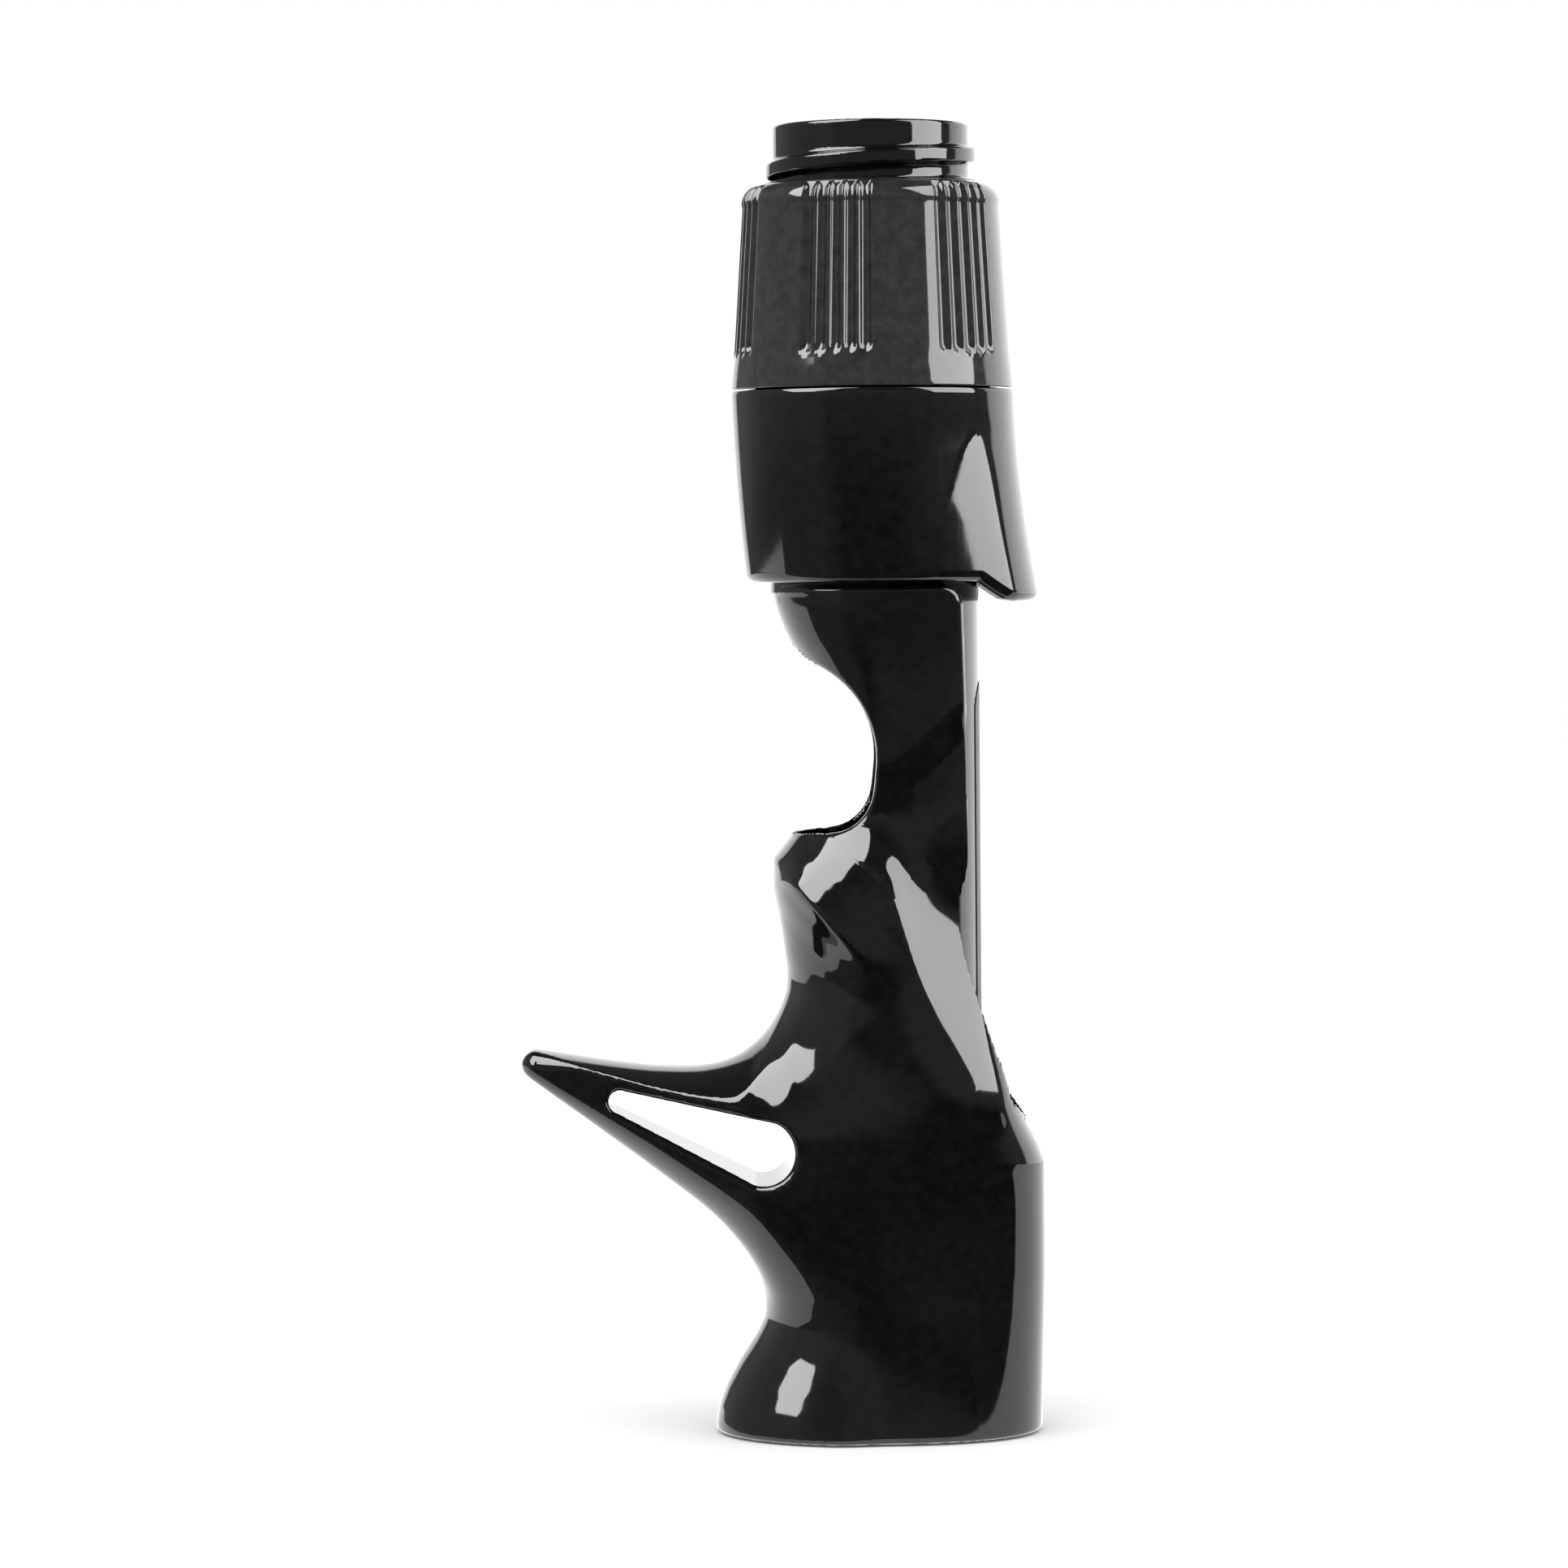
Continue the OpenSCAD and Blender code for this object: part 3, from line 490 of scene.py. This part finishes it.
def seat_field(p):
    """About the distance to the seat's surface up to SKIN_SPLIT, negative inside the solid."""
    x, y, z = p[:, 0], p[:, 1], p[:, 2]
    axis = np.hypot(x, y)
    body = sculpted_body(x, y, z)
    body = soft_min(body, trigger_blade(x, y, z), TRIGGER_BLEND)
    body = round_max(body, -z, REAR_EDGE_R)
    rails = (x - rail_line(z)) / np.hypot(1, slope_of(rail_line, z))
    body = round_max(body, round_max(rails, z - SHOULDER_Z, SHOULDER_R), RAIL_R)
    channel = round_max(np.abs(y) - CHANNEL_HALF, axis - ROOF_IN_R, CHANNEL_CORNER_R)
    channel = np.maximum(channel, np.maximum(CHANNEL_LOW - z, -x))
    body = cut(body, channel, CHANNEL_EDGE_R)
    # The barrel shows in front of the shoulder, and on the reel's side as the channel's floor.
    barrel = round_max(axis - BARREL_R, z - THREAD_LOW, STEP_R)
    barrel = np.maximum(barrel, np.minimum(SHOULDER_Z - 0.6 - z, 3.5 - x))
    barrel = np.maximum(barrel, 0.5 - z)
    solid = soft_min(body, barrel, 0.35)
    solid = cut(solid, window_2d(x, z), WINDOW_EDGE_R)
    solid = cut(solid, slot_2d(x, z) - SLOT_DRAFT * np.abs(y), SLOT_EDGE_R)
    recess = np.maximum(pad_recess_2d(y, z), PAD_FLOOR_R - axis)
    recess = np.maximum(recess, np.maximum(-x, axis - PAD_OPEN_R))
    solid = cut(solid, recess, 0.12)
    solid = round_max(solid, z - SKIN_SPLIT, 0.05)
    solid = cut(solid, key_way(x, y, SHOULDER_Z - 0.1 - z), 0.15)
    return cut(solid, axis - BORE_R, 0.1)


def thread_field(p):
    """The same from SKIN_SPLIT on: a stem with the thread's ridge wound round it."""
    x, y, z = p[:, 0], p[:, 1], p[:, 2]
    axis = np.hypot(x, y)
    turn = np.degrees(np.arctan2(y, x)) % 360
    rise = z - THREAD_MARK - PITCH * (turn - 180) / 360
    whole = np.round(rise / PITCH)
    off = np.abs(rise - whole * PITCH)
    centre = z - (rise - whole * PITCH)
    # The ridge grows out of the stem and runs out again over a short length.
    full = (ease((THREAD_FADE_TOP - centre) / THREAD_FADE)
            * ease((centre - THREAD_FADE_LOW) / THREAD_FADE))
    crest = ROOT_R - RIDGE_BURIED + (CREST_R - ROOT_R + RIDGE_BURIED) * full
    flank = (off - FLANK_HALF) * FLANK_ACROSS + (axis - crest) * FLANK_RISE
    ridge = np.maximum(round_max(axis - crest, flank, 0.16), z - THREAD_END)
    stem = round_max(axis - ROOT_R, z - SEAT_LEN, 0.35)
    lower = round_max(axis - BARREL_R, z - THREAD_LOW, STEP_R)
    solid = soft_min(soft_min(stem, lower, 0.3), ridge, 0.3)
    solid = np.maximum(solid, SKIN_SPLIT - z)
    # The key way has no beginning here. With 0 the field stays at zero inside it.
    solid = cut(solid, key_way(x, y, 0), 0.15)
    return cut(solid, axis - BORE_R, 0.3)


def build_seat():
    xs = lattice_lines([
        (-34.2, 0.3), (-30, 0.42), (-12, 0.42), (-8, 0.3), (0, 0.27), (1, 0.3), (2, 0.5),
        (6, 0.5), (8, 0.32), (16.2, 0.34)])
    half_lines = lattice_lines([
        (0.2, 0.42), (2.6, 0.3), (2.8, 0.18), (3.4, 0.18), (3.6, 0.3), (5, 0.4), (12.2, 0.4)])
    ys = np.concatenate([-half_lines[::-1], half_lines])
    zs = lattice_lines([
        (-0.8, 0.25), (1, 0.25), (3, 0.45), (40, 0.45), (50, 0.42), (54, 0.28), (74, 0.3),
        (76, 0.38), (78, 0.25), (80, 0.25), (82, 0.8), (97, 0.8), (97.5, 0.3), (98.3, 0.3)])
    v1, q1, n1 = skin(seat_field, xs, ys, zs)
    across = lattice_lines([(-10.6, 0.3), (10.6, 0.3)])
    along = lattice_lines([(97.3, 0.5), (114, 0.5), (115.5, 0.22), (122.7, 0.22)])
    v2, q2, n2 = skin(thread_field, across, across + 0.011, along)
    return mesh_piece("seat_shell", np.concatenate([v1, v2]), np.concatenate([q1, q2 + len(v1)]),
                      np.concatenate([n1, n2]))


# ---------------------------------------------------------------- turned pieces with a shaped wall
def turned(name, loops):
    """A ring-shaped piece from closed loops of points, one loop for each angle."""
    grid = np.array(loops)
    n, m = grid.shape[:2]
    i, j = np.meshgrid(np.arange(n), np.arange(m), indexing="ij")
    i2, j2 = (i + 1) % n, (j + 1) % m
    quads = np.stack([i * m + j, i2 * m + j, i2 * m + j2, i * m + j2], 2).reshape(-1, 4)
    return mesh_piece(name, grid.reshape(-1, 3), quads)


def rounded_outline(corners, gap):
    """Points along a closed outline in radius and height. Each corner gives its place and its
    rounding."""
    corners = [np.array(c, float) for c in corners]
    n = len(corners)
    arcs = []
    for k in range(n):
        a, b, c = corners[k - 1][:2], corners[k][:2], corners[(k + 1) % n][:2]
        r = corners[k][2]
        to_a, to_c = (a - b) / np.linalg.norm(a - b), (c - b) / np.linalg.norm(c - b)
        half = math.acos(max(-1, min(1, float(to_a @ to_c)))) / 2
        tangent = r / math.tan(half)
        start, end = b + to_a * tangent, b + to_c * tangent
        middle_way = (to_a + to_c) / np.linalg.norm(to_a + to_c)
        centre = b + middle_way * r / math.sin(half)
        s0, s1 = start - centre, end - centre
        sweep = math.atan2(s0[0] * s1[1] - s0[1] * s1[0], float(s0 @ s1))
        steps = max(4, int(abs(sweep) * r / gap) + 4)
        arcs.append([centre + np.array([s0[0] * math.cos(t) - s0[1] * math.sin(t),
                                        s0[0] * math.sin(t) + s0[1] * math.cos(t)])
                     for t in np.linspace(0, sweep, steps)])
    points = []
    for k in range(n):
        points += arcs[k]
        a, b = arcs[k][-1], arcs[(k + 1) % n][0]
        steps = int(np.linalg.norm(b - a) / (gap * 2.5))
        points += [a + (b - a) * t for t in np.linspace(0, 1, steps + 2)[1:-1]]
    return np.array(points)


nut_wall = curve([
    (97.4, 13.25), (99.0, 13.12), (100.6, 12.92), (114.6, 12.02), (116.5, 11.9)], 0.5)


def flute_depth(angle, z):
    """How deep the flutes cut at each place: five to a group, six groups round the nut, with
    round ends."""
    local = (angle - FLUTE_MID + 30) % 60 - 30
    near = np.clip(np.round(local / FLUTE_STEP), -2, 2)
    across = (local - near * FLUTE_STEP) * math.pi / 180 * FLUTE_ARC_R
    past = np.maximum(np.maximum(FLUTE_LOW - z, z - FLUTE_TOP), 0)
    d = np.hypot(across, past)
    return FLUTE_DEPTH * np.clip(1 - (d / FLUTE_HALF) ** 2, 0, 1) ** FLUTE_POWER


def build_nut():
    outline = rounded_outline([
        (NUT_LOW_R, NUT_LOW, 0.12), (NUT_TOP_R, NUT_TOP, 1.9), (NUT_BORE_R, NUT_TOP, 0.35),
        (NUT_BORE_R, NUT_SEAT_TOP, 0.05), (NUT_SEAT_R, NUT_SEAT_TOP, 0.05),
        (NUT_SEAT_R, NUT_LOW, 0.1)], 0.14)
    radius, z = outline[:, 0], outline[:, 1]
    # The outline's outer wall is a plain cone, which gives way to nut_wall below the rounding.
    cone = NUT_LOW_R + (NUT_TOP_R - NUT_LOW_R) * (z - NUT_LOW) / (NUT_TOP - NUT_LOW)
    wall = (z < NUT_WALL_TOP) & (radius > NUT_SEAT_R + 0.02) & (z > NUT_LOW + 0.1)
    radius = np.where(wall, radius + (nut_wall(z) - cone), radius)
    fluted = (radius > 11.0) & (z > 100) & (z < 116.49)
    deepest = np.maximum(radius - 11.2, 0) * 0.8
    loops = []
    for group_no in range(6):
        base = FLUTE_MID + 60 * group_no
        for a in [*(base + np.arange(-17, 17, 0.55)), *(base + np.arange(17, 43, 2.0))]:
            r = radius - np.minimum(np.where(fluted, flute_depth(a, z), 0), deepest)
            c, s = math.cos(math.radians(a)), math.sin(math.radians(a))
            loops.append(np.stack([r * c, r * s, z], 1))
    return turned("fluted_nut", loops)


def hood_radius(angle, z):
    """The sliding hood: round where it meets the nut, drawn out below into a bill with flat
    cheeks."""
    s = np.clip((HOOD_TOP - z) / (HOOD_TOP - HOOD_LOW), 0, 1.2)
    r = HOOD_TOP_R - HOOD_TAPER * (0.55 * s + 0.45 * s ** 2.5)
    tip = HOOD_TOP_R + BILL_REACH * np.clip(s, 0, 2) ** 1.7
    drawn = ease((s - 0.05) / 0.3) * np.clip((s - 0.15) / 0.85, 0, 1.3)
    ridge_y = RIDGE_HALF - RIDGE_HALF_DRAWN * drawn
    ridge_x = RIDGE_X + RIDGE_X_DRAWN * drawn ** 1.12
    stretch = np.maximum(1, r / np.hypot(ridge_x, ridge_y))
    ridge_x, ridge_y = ridge_x * stretch, ridge_y * stretch
    a = np.abs((angle + 180) % 360 - 180)
    ca, sa = np.cos(np.radians(a)), np.sin(np.radians(a))
    ridge_a = np.degrees(np.arctan2(ridge_y, ridge_x))
    cheek_a = ridge_a + np.degrees(np.arccos(np.minimum(r / np.hypot(ridge_x, ridge_y), 1)))
    swell = CHEEK_SWELL * drawn ** 1.5
    beyond = swell * (1 - ease((a - cheek_a) / CHEEK_FADE))
    cheek = (r + swell) / np.cos(np.radians(np.clip(a - cheek_a, -80, 80)))
    # The nose is an arc through the tip and both ridges.
    rise = tip - ridge_x
    nose_r = (ridge_y ** 2 + rise ** 2) / (2 * np.maximum(rise, 0.05))
    centre = tip - nose_r
    nose = centre * ca + np.sqrt(np.maximum(nose_r ** 2 - (centre * sa) ** 2, 0.01))
    join = BILL_JOIN_LEAST + BILL_JOIN * ease(2 * drawn)
    return np.where(a < cheek_a, soft_min(cheek, nose, join), r + beyond)


def hood_underside(x):
    """The height of the hood's lower end, which drops under the bill."""
    return float(np.interp(x, [9.9, 12.4, 13.2, 16], [HOOD_LOW, 77.75, BILL_LOW, BILL_LOW]))


def build_hood():
    bend = np.radians(np.arange(0, 91, 11.25))
    collar = np.array([(RIM_R, RIM_TOP), (RIM_R, RIM_TOP - 1), (COLLAR_R, RIM_TOP - 1),
                       (COLLAR_R, HOOD_TOP)])
    pocket_top = BILL_LOW + POCKET_LEN
    loops = []
    for a in np.concatenate([np.arange(-80, 80, 0.7), np.arange(80, 280, 1.6)]):
        c, s = math.cos(math.radians(a)), math.sin(math.radians(a))
        low = hood_underside(hood_radius(np.array([a]), np.array([HOOD_LOW]))[0] * c)
        heights = HOOD_TOP - np.linspace(0.1, HOOD_TOP - low - 1.0, 40)
        heights = np.concatenate([[HOOD_TOP], heights])
        outer = hood_radius(np.full(len(heights), a), heights)
        outer[0] -= 0.1
        rim_z = low + HOOD_RIM_R
        base_r = hood_radius(np.array([a]), np.array([rim_z]))[0]
        bend_r = base_r - HOOD_RIM_R + HOOD_RIM_R * np.cos(bend)
        bend_z = rim_z - HOOD_RIM_R * np.sin(bend)
        under_r = np.linspace(bend_r[-1], HOOD_BORE_R + 0.15, 8)[1:]
        under_z = np.array([max(low, hood_underside(v * c)) for v in under_r])
        inner_z = np.linspace(under_z[-1] + 0.15, RIM_TOP, 12)
        inner_r = np.full(12, HOOD_BORE_R)
        if abs(a) < POCKET_ANGLE:
            # A pocket for the reel's foot, as wide as POCKET_HALF allows at this angle
            room = np.interp(inner_z, [BILL_LOW, pocket_top, pocket_top + 0.05],
                             [POCKET_LOW_R, POCKET_TOP_R, HOOD_BORE_R])
            wide = max(POCKET_HALF / max(abs(s), 1e-6), HOOD_BORE_R)
            inner_r = np.maximum(HOOD_BORE_R, np.minimum(room, wide))
        r = np.concatenate([outer, bend_r, under_r, inner_r, collar[:, 0]])
        z = np.concatenate([heights, bend_z, under_z, inner_z, collar[:, 1]])
        loops.append(np.stack([r * c, r * s, z], 1)[::-1])
    return turned("bill_hood", loops)


# ---------------------------------------------------------------- finishes
def feed(tree, socket, value):
    """Gives an input either a number or what another node puts out."""
    if isinstance(value, (int, float)):
        socket.default_value = value
    else:
        tree.links.new(value, socket)


def math_node(tree, kind, a, b):
    node = tree.nodes.new("ShaderNodeMath")
    node.operation = kind
    feed(tree, node.inputs[0], a)
    feed(tree, node.inputs[1], b)
    return node.outputs[0]


def noise(tree, vector, scale, detail, roughness):
    node = tree.nodes.new("ShaderNodeTexNoise")
    node.inputs["Detail"].default_value = detail
    node.inputs["Roughness"].default_value = roughness
    feed(tree, node.inputs["Scale"], scale)
    tree.links.new(vector, node.inputs["Vector"])
    return node.outputs["Fac"]


def remap(tree, value, given, wanted, kind="LINEAR"):
    """Takes a value from one pair of ends to another."""
    node = tree.nodes.new("ShaderNodeMapRange")
    node.interpolation_type = kind
    for label, number in zip(("From Min", "From Max", "To Min", "To Max"), (*given, *wanted)):
        node.inputs[label].default_value = number
    tree.links.new(value, node.inputs["Value"])
    return node.outputs["Result"]


def mixed(tree, share, first, second):
    node = tree.nodes.new("ShaderNodeMixShader")
    for socket, value in zip(node.inputs, (share, first, second)):
        tree.links.new(value, socket)
    return node.outputs[0]


def emission(tree, strength):
    node = tree.nodes.new("ShaderNodeEmission")
    node.inputs["Strength"].default_value = strength
    return node.outputs[0]


GRAIN = 900.0


def moulded_surface():
    """Haze and fine rub marks of a polished moulding: a mask for the sheen, a tone and a height.
    Scales are in waves per metre."""
    tree = bpy.data.node_groups.new("moulded_surface", "ShaderNodeTree")
    grain = tree.interface.new_socket("Grain", in_out="INPUT", socket_type="NodeSocketFloat")
    grain.default_value = GRAIN
    for label in ("Haze", "Tone", "Height"):
        tree.interface.new_socket(label, in_out="OUTPUT", socket_type="NodeSocketFloat")
    given, out = tree.nodes.new("NodeGroupInput"), tree.nodes.new("NodeGroupOutput")
    place = tree.nodes.new("ShaderNodeTexCoord").outputs["Object"]
    broad = noise(tree, place, 70.0, 3.0, 0.55)
    fine = noise(tree, place, given.outputs["Grain"], 2.0, 0.6)
    squeeze = tree.nodes.new("ShaderNodeMapping")
    squeeze.inputs["Scale"].default_value = (1.0, 1.0, 0.06)
    squeeze.inputs["Rotation"].default_value = (0.0, math.radians(18), 0.0)
    tree.links.new(place, squeeze.inputs["Vector"])
    streak = noise(tree, squeeze.outputs["Vector"], 2400.0, 2.0, 0.5)
    height = math_node(tree, "ADD", math_node(tree, "MULTIPLY", fine, 0.6),
                       math_node(tree, "MULTIPLY", streak, 0.4))
    tree.links.new(math_node(tree, "MULTIPLY", streak, broad), out.inputs["Haze"])
    tree.links.new(fine, out.inputs["Tone"])
    tree.links.new(height, out.inputs["Height"])
    return tree


SURFACE = moulded_surface()


def ramp(tree, fac, stops):
    node = tree.nodes.new("ShaderNodeValToRGB")
    for element, (at, colour) in zip(node.color_ramp.elements, stops):
        element.position = at
        element.color = (*colour, 1)
    tree.links.new(fac, node.inputs["Fac"])
    return node.outputs["Color"]


def plastic(name, dark, light, rough, bump, grain=GRAIN):
    material = bpy.data.materials.new(name)
    material.use_nodes = True
    tree = material.node_tree
    shader = tree.nodes["Principled BSDF"]
    surface = tree.nodes.new("ShaderNodeGroup")
    surface.node_tree = SURFACE
    surface.inputs["Grain"].default_value = grain
    colour = ramp(tree, surface.outputs["Tone"], [(0.3, dark), (0.75, light)])
    tree.links.new(colour, shader.inputs["Base Color"])
    tree.links.new(remap(tree, surface.outputs["Haze"], (0, 1), rough), shader.inputs["Roughness"])
    relief = tree.nodes.new("ShaderNodeBump")
    relief.inputs["Strength"].default_value = bump
    relief.inputs["Distance"].default_value = 0.00002
    tree.links.new(surface.outputs["Height"], relief.inputs["Height"])
    tree.links.new(relief.outputs["Normal"], shader.inputs["Normal"])
    return material


GLOSS_BLACK = plastic(
    "gloss_black", (0.0015, 0.0015, 0.0016), (0.005, 0.005, 0.005), (0.03, 0.14), 0.1)
HOOD_BLACK = plastic(
    "hood_black", (0.002, 0.002, 0.002), (0.006, 0.006, 0.006), (0.03, 0.14), 0.1)
NUT_BLACK = plastic(
    "nut_black", (0.014, 0.0135, 0.013), (0.032, 0.031, 0.029), (0.04, 0.12), 0.15)
PAD_BLACK = plastic(
    "pad_black", (0.01, 0.01, 0.01), (0.03, 0.03, 0.03), (0.45, 0.7), 0.5, 500.0)
LINER_BLACK = plastic(
    "liner_black", (0.02, 0.02, 0.02), (0.05, 0.05, 0.05), (0.4, 0.6), 0.4, 700.0)
RING_GREY = plastic(
    "ring_grey", (0.05, 0.05, 0.05), (0.09, 0.09, 0.09), (0.35, 0.5), 0.3, 700.0)


def finish_piece(piece, body, node, material):
    piece.data.materials.append(material)
    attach(piece, body)
    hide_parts(node)


finish_piece(build_seat(), "seat", "seat_body", GLOSS_BLACK)
finish_piece(build_nut(), "nut", "lock_nut", NUT_BLACK)
finish_piece(build_hood(), "hood", "sliding_hood", HOOD_BLACK)
for node, material in (("foot_pad", PAD_BLACK), ("rear_hood_liner", LINER_BLACK),
                       ("front_hood_liner", LINER_BLACK), ("snap_ring", RING_GREY)):
    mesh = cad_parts[node].data
    mesh.materials.clear()
    mesh.materials.append(material)


# ---------------------------------------------------------------- camera, with places in metres
def look(obj, place, target, roll=0.0):
    way = (Vector(target) - Vector(place)).normalized()
    turn = way.to_track_quat("-Z", "Y").to_matrix().to_4x4()
    roll_turn = Matrix.Rotation(math.radians(roll), 4, "Z")
    obj.matrix_world = Matrix.Translation(place) @ turn @ roll_turn


camera = link_object("camera", bpy.data.cameras.new("camera"))
bpy.context.scene.camera = camera
camera.data.lens = 134.16
camera.data.sensor_width = 36
camera.data.clip_start = 0.01
look(camera, (-0.0086, -0.547, 0.0802), (-0.0086, 0, 0.0606), roll=-0.5)

# ---------------------------------------------------------------- floor, lamps and world
FLOOR_REACH = 3.0
BOARD_LEVEL = 1.8
AIM = (0, 0, 0.06)
SWEEP_MIDDLE = math.radians(158.5)


def floor_mesh(name, left, right, near, far):
    """A floor with a smaller board in its middle, which is the part that the gloss mirrors."""
    xs, ys = (-FLOOR_REACH, left, right, FLOOR_REACH), (-FLOOR_REACH, near, far, FLOOR_REACH)
    corners = [4 * j + i for j in range(3) for i in range(3)]
    mesh = bpy.data.meshes.new(name)
    mesh.from_pydata([(x, y, 0) for y in ys for x in xs], [],
                     [(k, k + 1, k + 5, k + 4) for k in corners])
    for k, face in enumerate(mesh.polygons):
        face.material_index = 0 if k == 4 else 1
    return mesh


def floor_paint(name, board_level=None):
    """Pale paint that keeps a shadow. The gloss sees a bright board where a level is given, and
    what lies beyond the floor elsewhere."""
    paint = bpy.data.materials.new(name)
    paint.use_nodes = True
    tree = paint.node_tree
    shader = tree.nodes["Principled BSDF"]
    shader.inputs["Base Color"].default_value = (0.95, 0.95, 0.95, 1)
    shader.inputs["Roughness"].default_value = 0.9
    shader.inputs["Specular IOR Level"].default_value = 0.0
    if board_level is None:
        mirrored = tree.nodes.new("ShaderNodeBsdfTransparent").outputs[0]
    else:
        mirrored = emission(tree, board_level)
    glossy = tree.nodes.new("ShaderNodeLightPath").outputs["Is Glossy Ray"]
    tree.links.new(mixed(tree, glossy, shader.outputs[0], mirrored),
                   tree.nodes["Material Output"].inputs["Surface"])
    return paint


floor = link_object("floor", floor_mesh("floor", -0.6, 0.35, -0.022, 0.6))
floor.location = (0, 0, -0.0002)
floor.data.materials.append(floor_paint("board_paint", BOARD_LEVEL))
floor.data.materials.append(floor_paint("floor_paint"))


def aim_from(obj, azimuth, elevation, away):
    """Azimuth 0 is the camera's side, and positive azimuths turn towards the reel's side."""
    a, e = math.radians(azimuth), math.radians(elevation)
    way = Vector((math.sin(a) * math.cos(e), -math.cos(a) * math.cos(e), math.sin(e)))
    look(obj, Vector(AIM) + way * away, AIM)


def lamp(name, azimuth, elevation, watts):
    """A square lamp that lights the paint and the plastic but isn't mirrored."""
    data = bpy.data.lights.new(name, "AREA")
    data.shape = "RECTANGLE"
    data.size = data.size_y = 1.0
    data.energy = watts
    obj = link_object(name, data)
    aim_from(obj, azimuth, elevation, 1.2)
    obj.visible_camera = obj.visible_glossy = False


def softbox(name, azimuth, elevation, width, height, level, sides=4):
    """A glowing face, with four or eight sides, that only the gloss sees."""
    turn = math.pi / sides
    ring = [(width / 2 * math.cos(turn + 2 * turn * k) / math.cos(turn),
             height / 2 * math.sin(turn + 2 * turn * k) / math.cos(turn), 0) for k in range(sides)]
    mesh = bpy.data.meshes.new(name)
    mesh.from_pydata(ring, [], [tuple(range(sides))])
    obj = link_object(name, mesh)
    aim_from(obj, azimuth, elevation, 1.0)
    glow = bpy.data.materials.new(name)
    glow.use_nodes = True
    tree = glow.node_tree
    tree.nodes.clear()
    tree.links.new(emission(tree, level),
                   tree.nodes.new("ShaderNodeOutputMaterial").inputs["Surface"])
    mesh.materials.append(glow)
    obj.visible_camera = obj.visible_diffuse = obj.visible_shadow = False


softbox("tall_softbox", 69, 30, 0.8, 1.1, 9.5)
softbox("eight_sided_softbox", -60, 47, 0.82, 1.2, 12.0, sides=8)
lamp("key", -35, 55, 4)
lamp("fill", 60, 40, 2)

world = bpy.data.worlds.new("studio")
bpy.context.scene.world = world
world.use_nodes = True
sky = world.node_tree
sky.nodes.clear()


def background(strength):
    node = sky.nodes.new("ShaderNodeBackground")
    node.inputs["Color"].default_value = (1, 1, 1, 1)
    feed(sky, node.inputs["Strength"], strength)
    return node.outputs[0]


def fade(value, start, end, low, high):
    return remap(sky, value, (start, end), (low, high), "SMOOTHSTEP")


def times(a, b):
    return math_node(sky, "MULTIPLY", a, b)


def plus(a, b):
    return math_node(sky, "ADD", a, b)


def larger(a, b):
    return math_node(sky, "MAXIMUM", a, b)


# What the gloss sees: a white sweep behind the seat, brighter to the reel's side, and a dim room
# in front of it. East is the reel's side, and north is behind the seat.
split = sky.nodes.new("ShaderNodeSeparateXYZ")
sky.links.new(sky.nodes.new("ShaderNodeTexCoord").outputs["Generated"], split.inputs[0])
east, north, up = split.outputs
flat = math_node(sky, "POWER", plus(times(east, east), times(north, north)), 0.5)
towards_sweep = plus(times(east, math.sin(SWEEP_MIDDLE)), times(north, -math.cos(SWEEP_MIDDLE)))
facing = math_node(sky, "DIVIDE", towards_sweep, flat)
sweep = times(fade(facing, 0.55, 0.64, 0, 1), fade(up, 0.48, 0.56, 1, 0))
sweep = times(sweep, fade(east, -0.2, 0.9, 1.7, 2.8))
room = times(fade(up, -0.14, 0.0, 0.04, 0.28), fade(up, 0.1, 0.6, 1, 0.4))
trigger_side = times(fade(east, -0.8, -0.3, 0.4, 0), fade(up, -0.1, 0, 0.5, 1))
room = larger(room, trigger_side)
path = sky.nodes.new("ShaderNodeLightPath")
lit = mixed(sky, path.outputs["Is Glossy Ray"], background(1.05), background(larger(sweep, room)))
seen = mixed(sky, path.outputs["Is Camera Ray"], lit, background(1.0))
sky.links.new(seen, sky.nodes.new("ShaderNodeOutputWorld").inputs["Surface"])
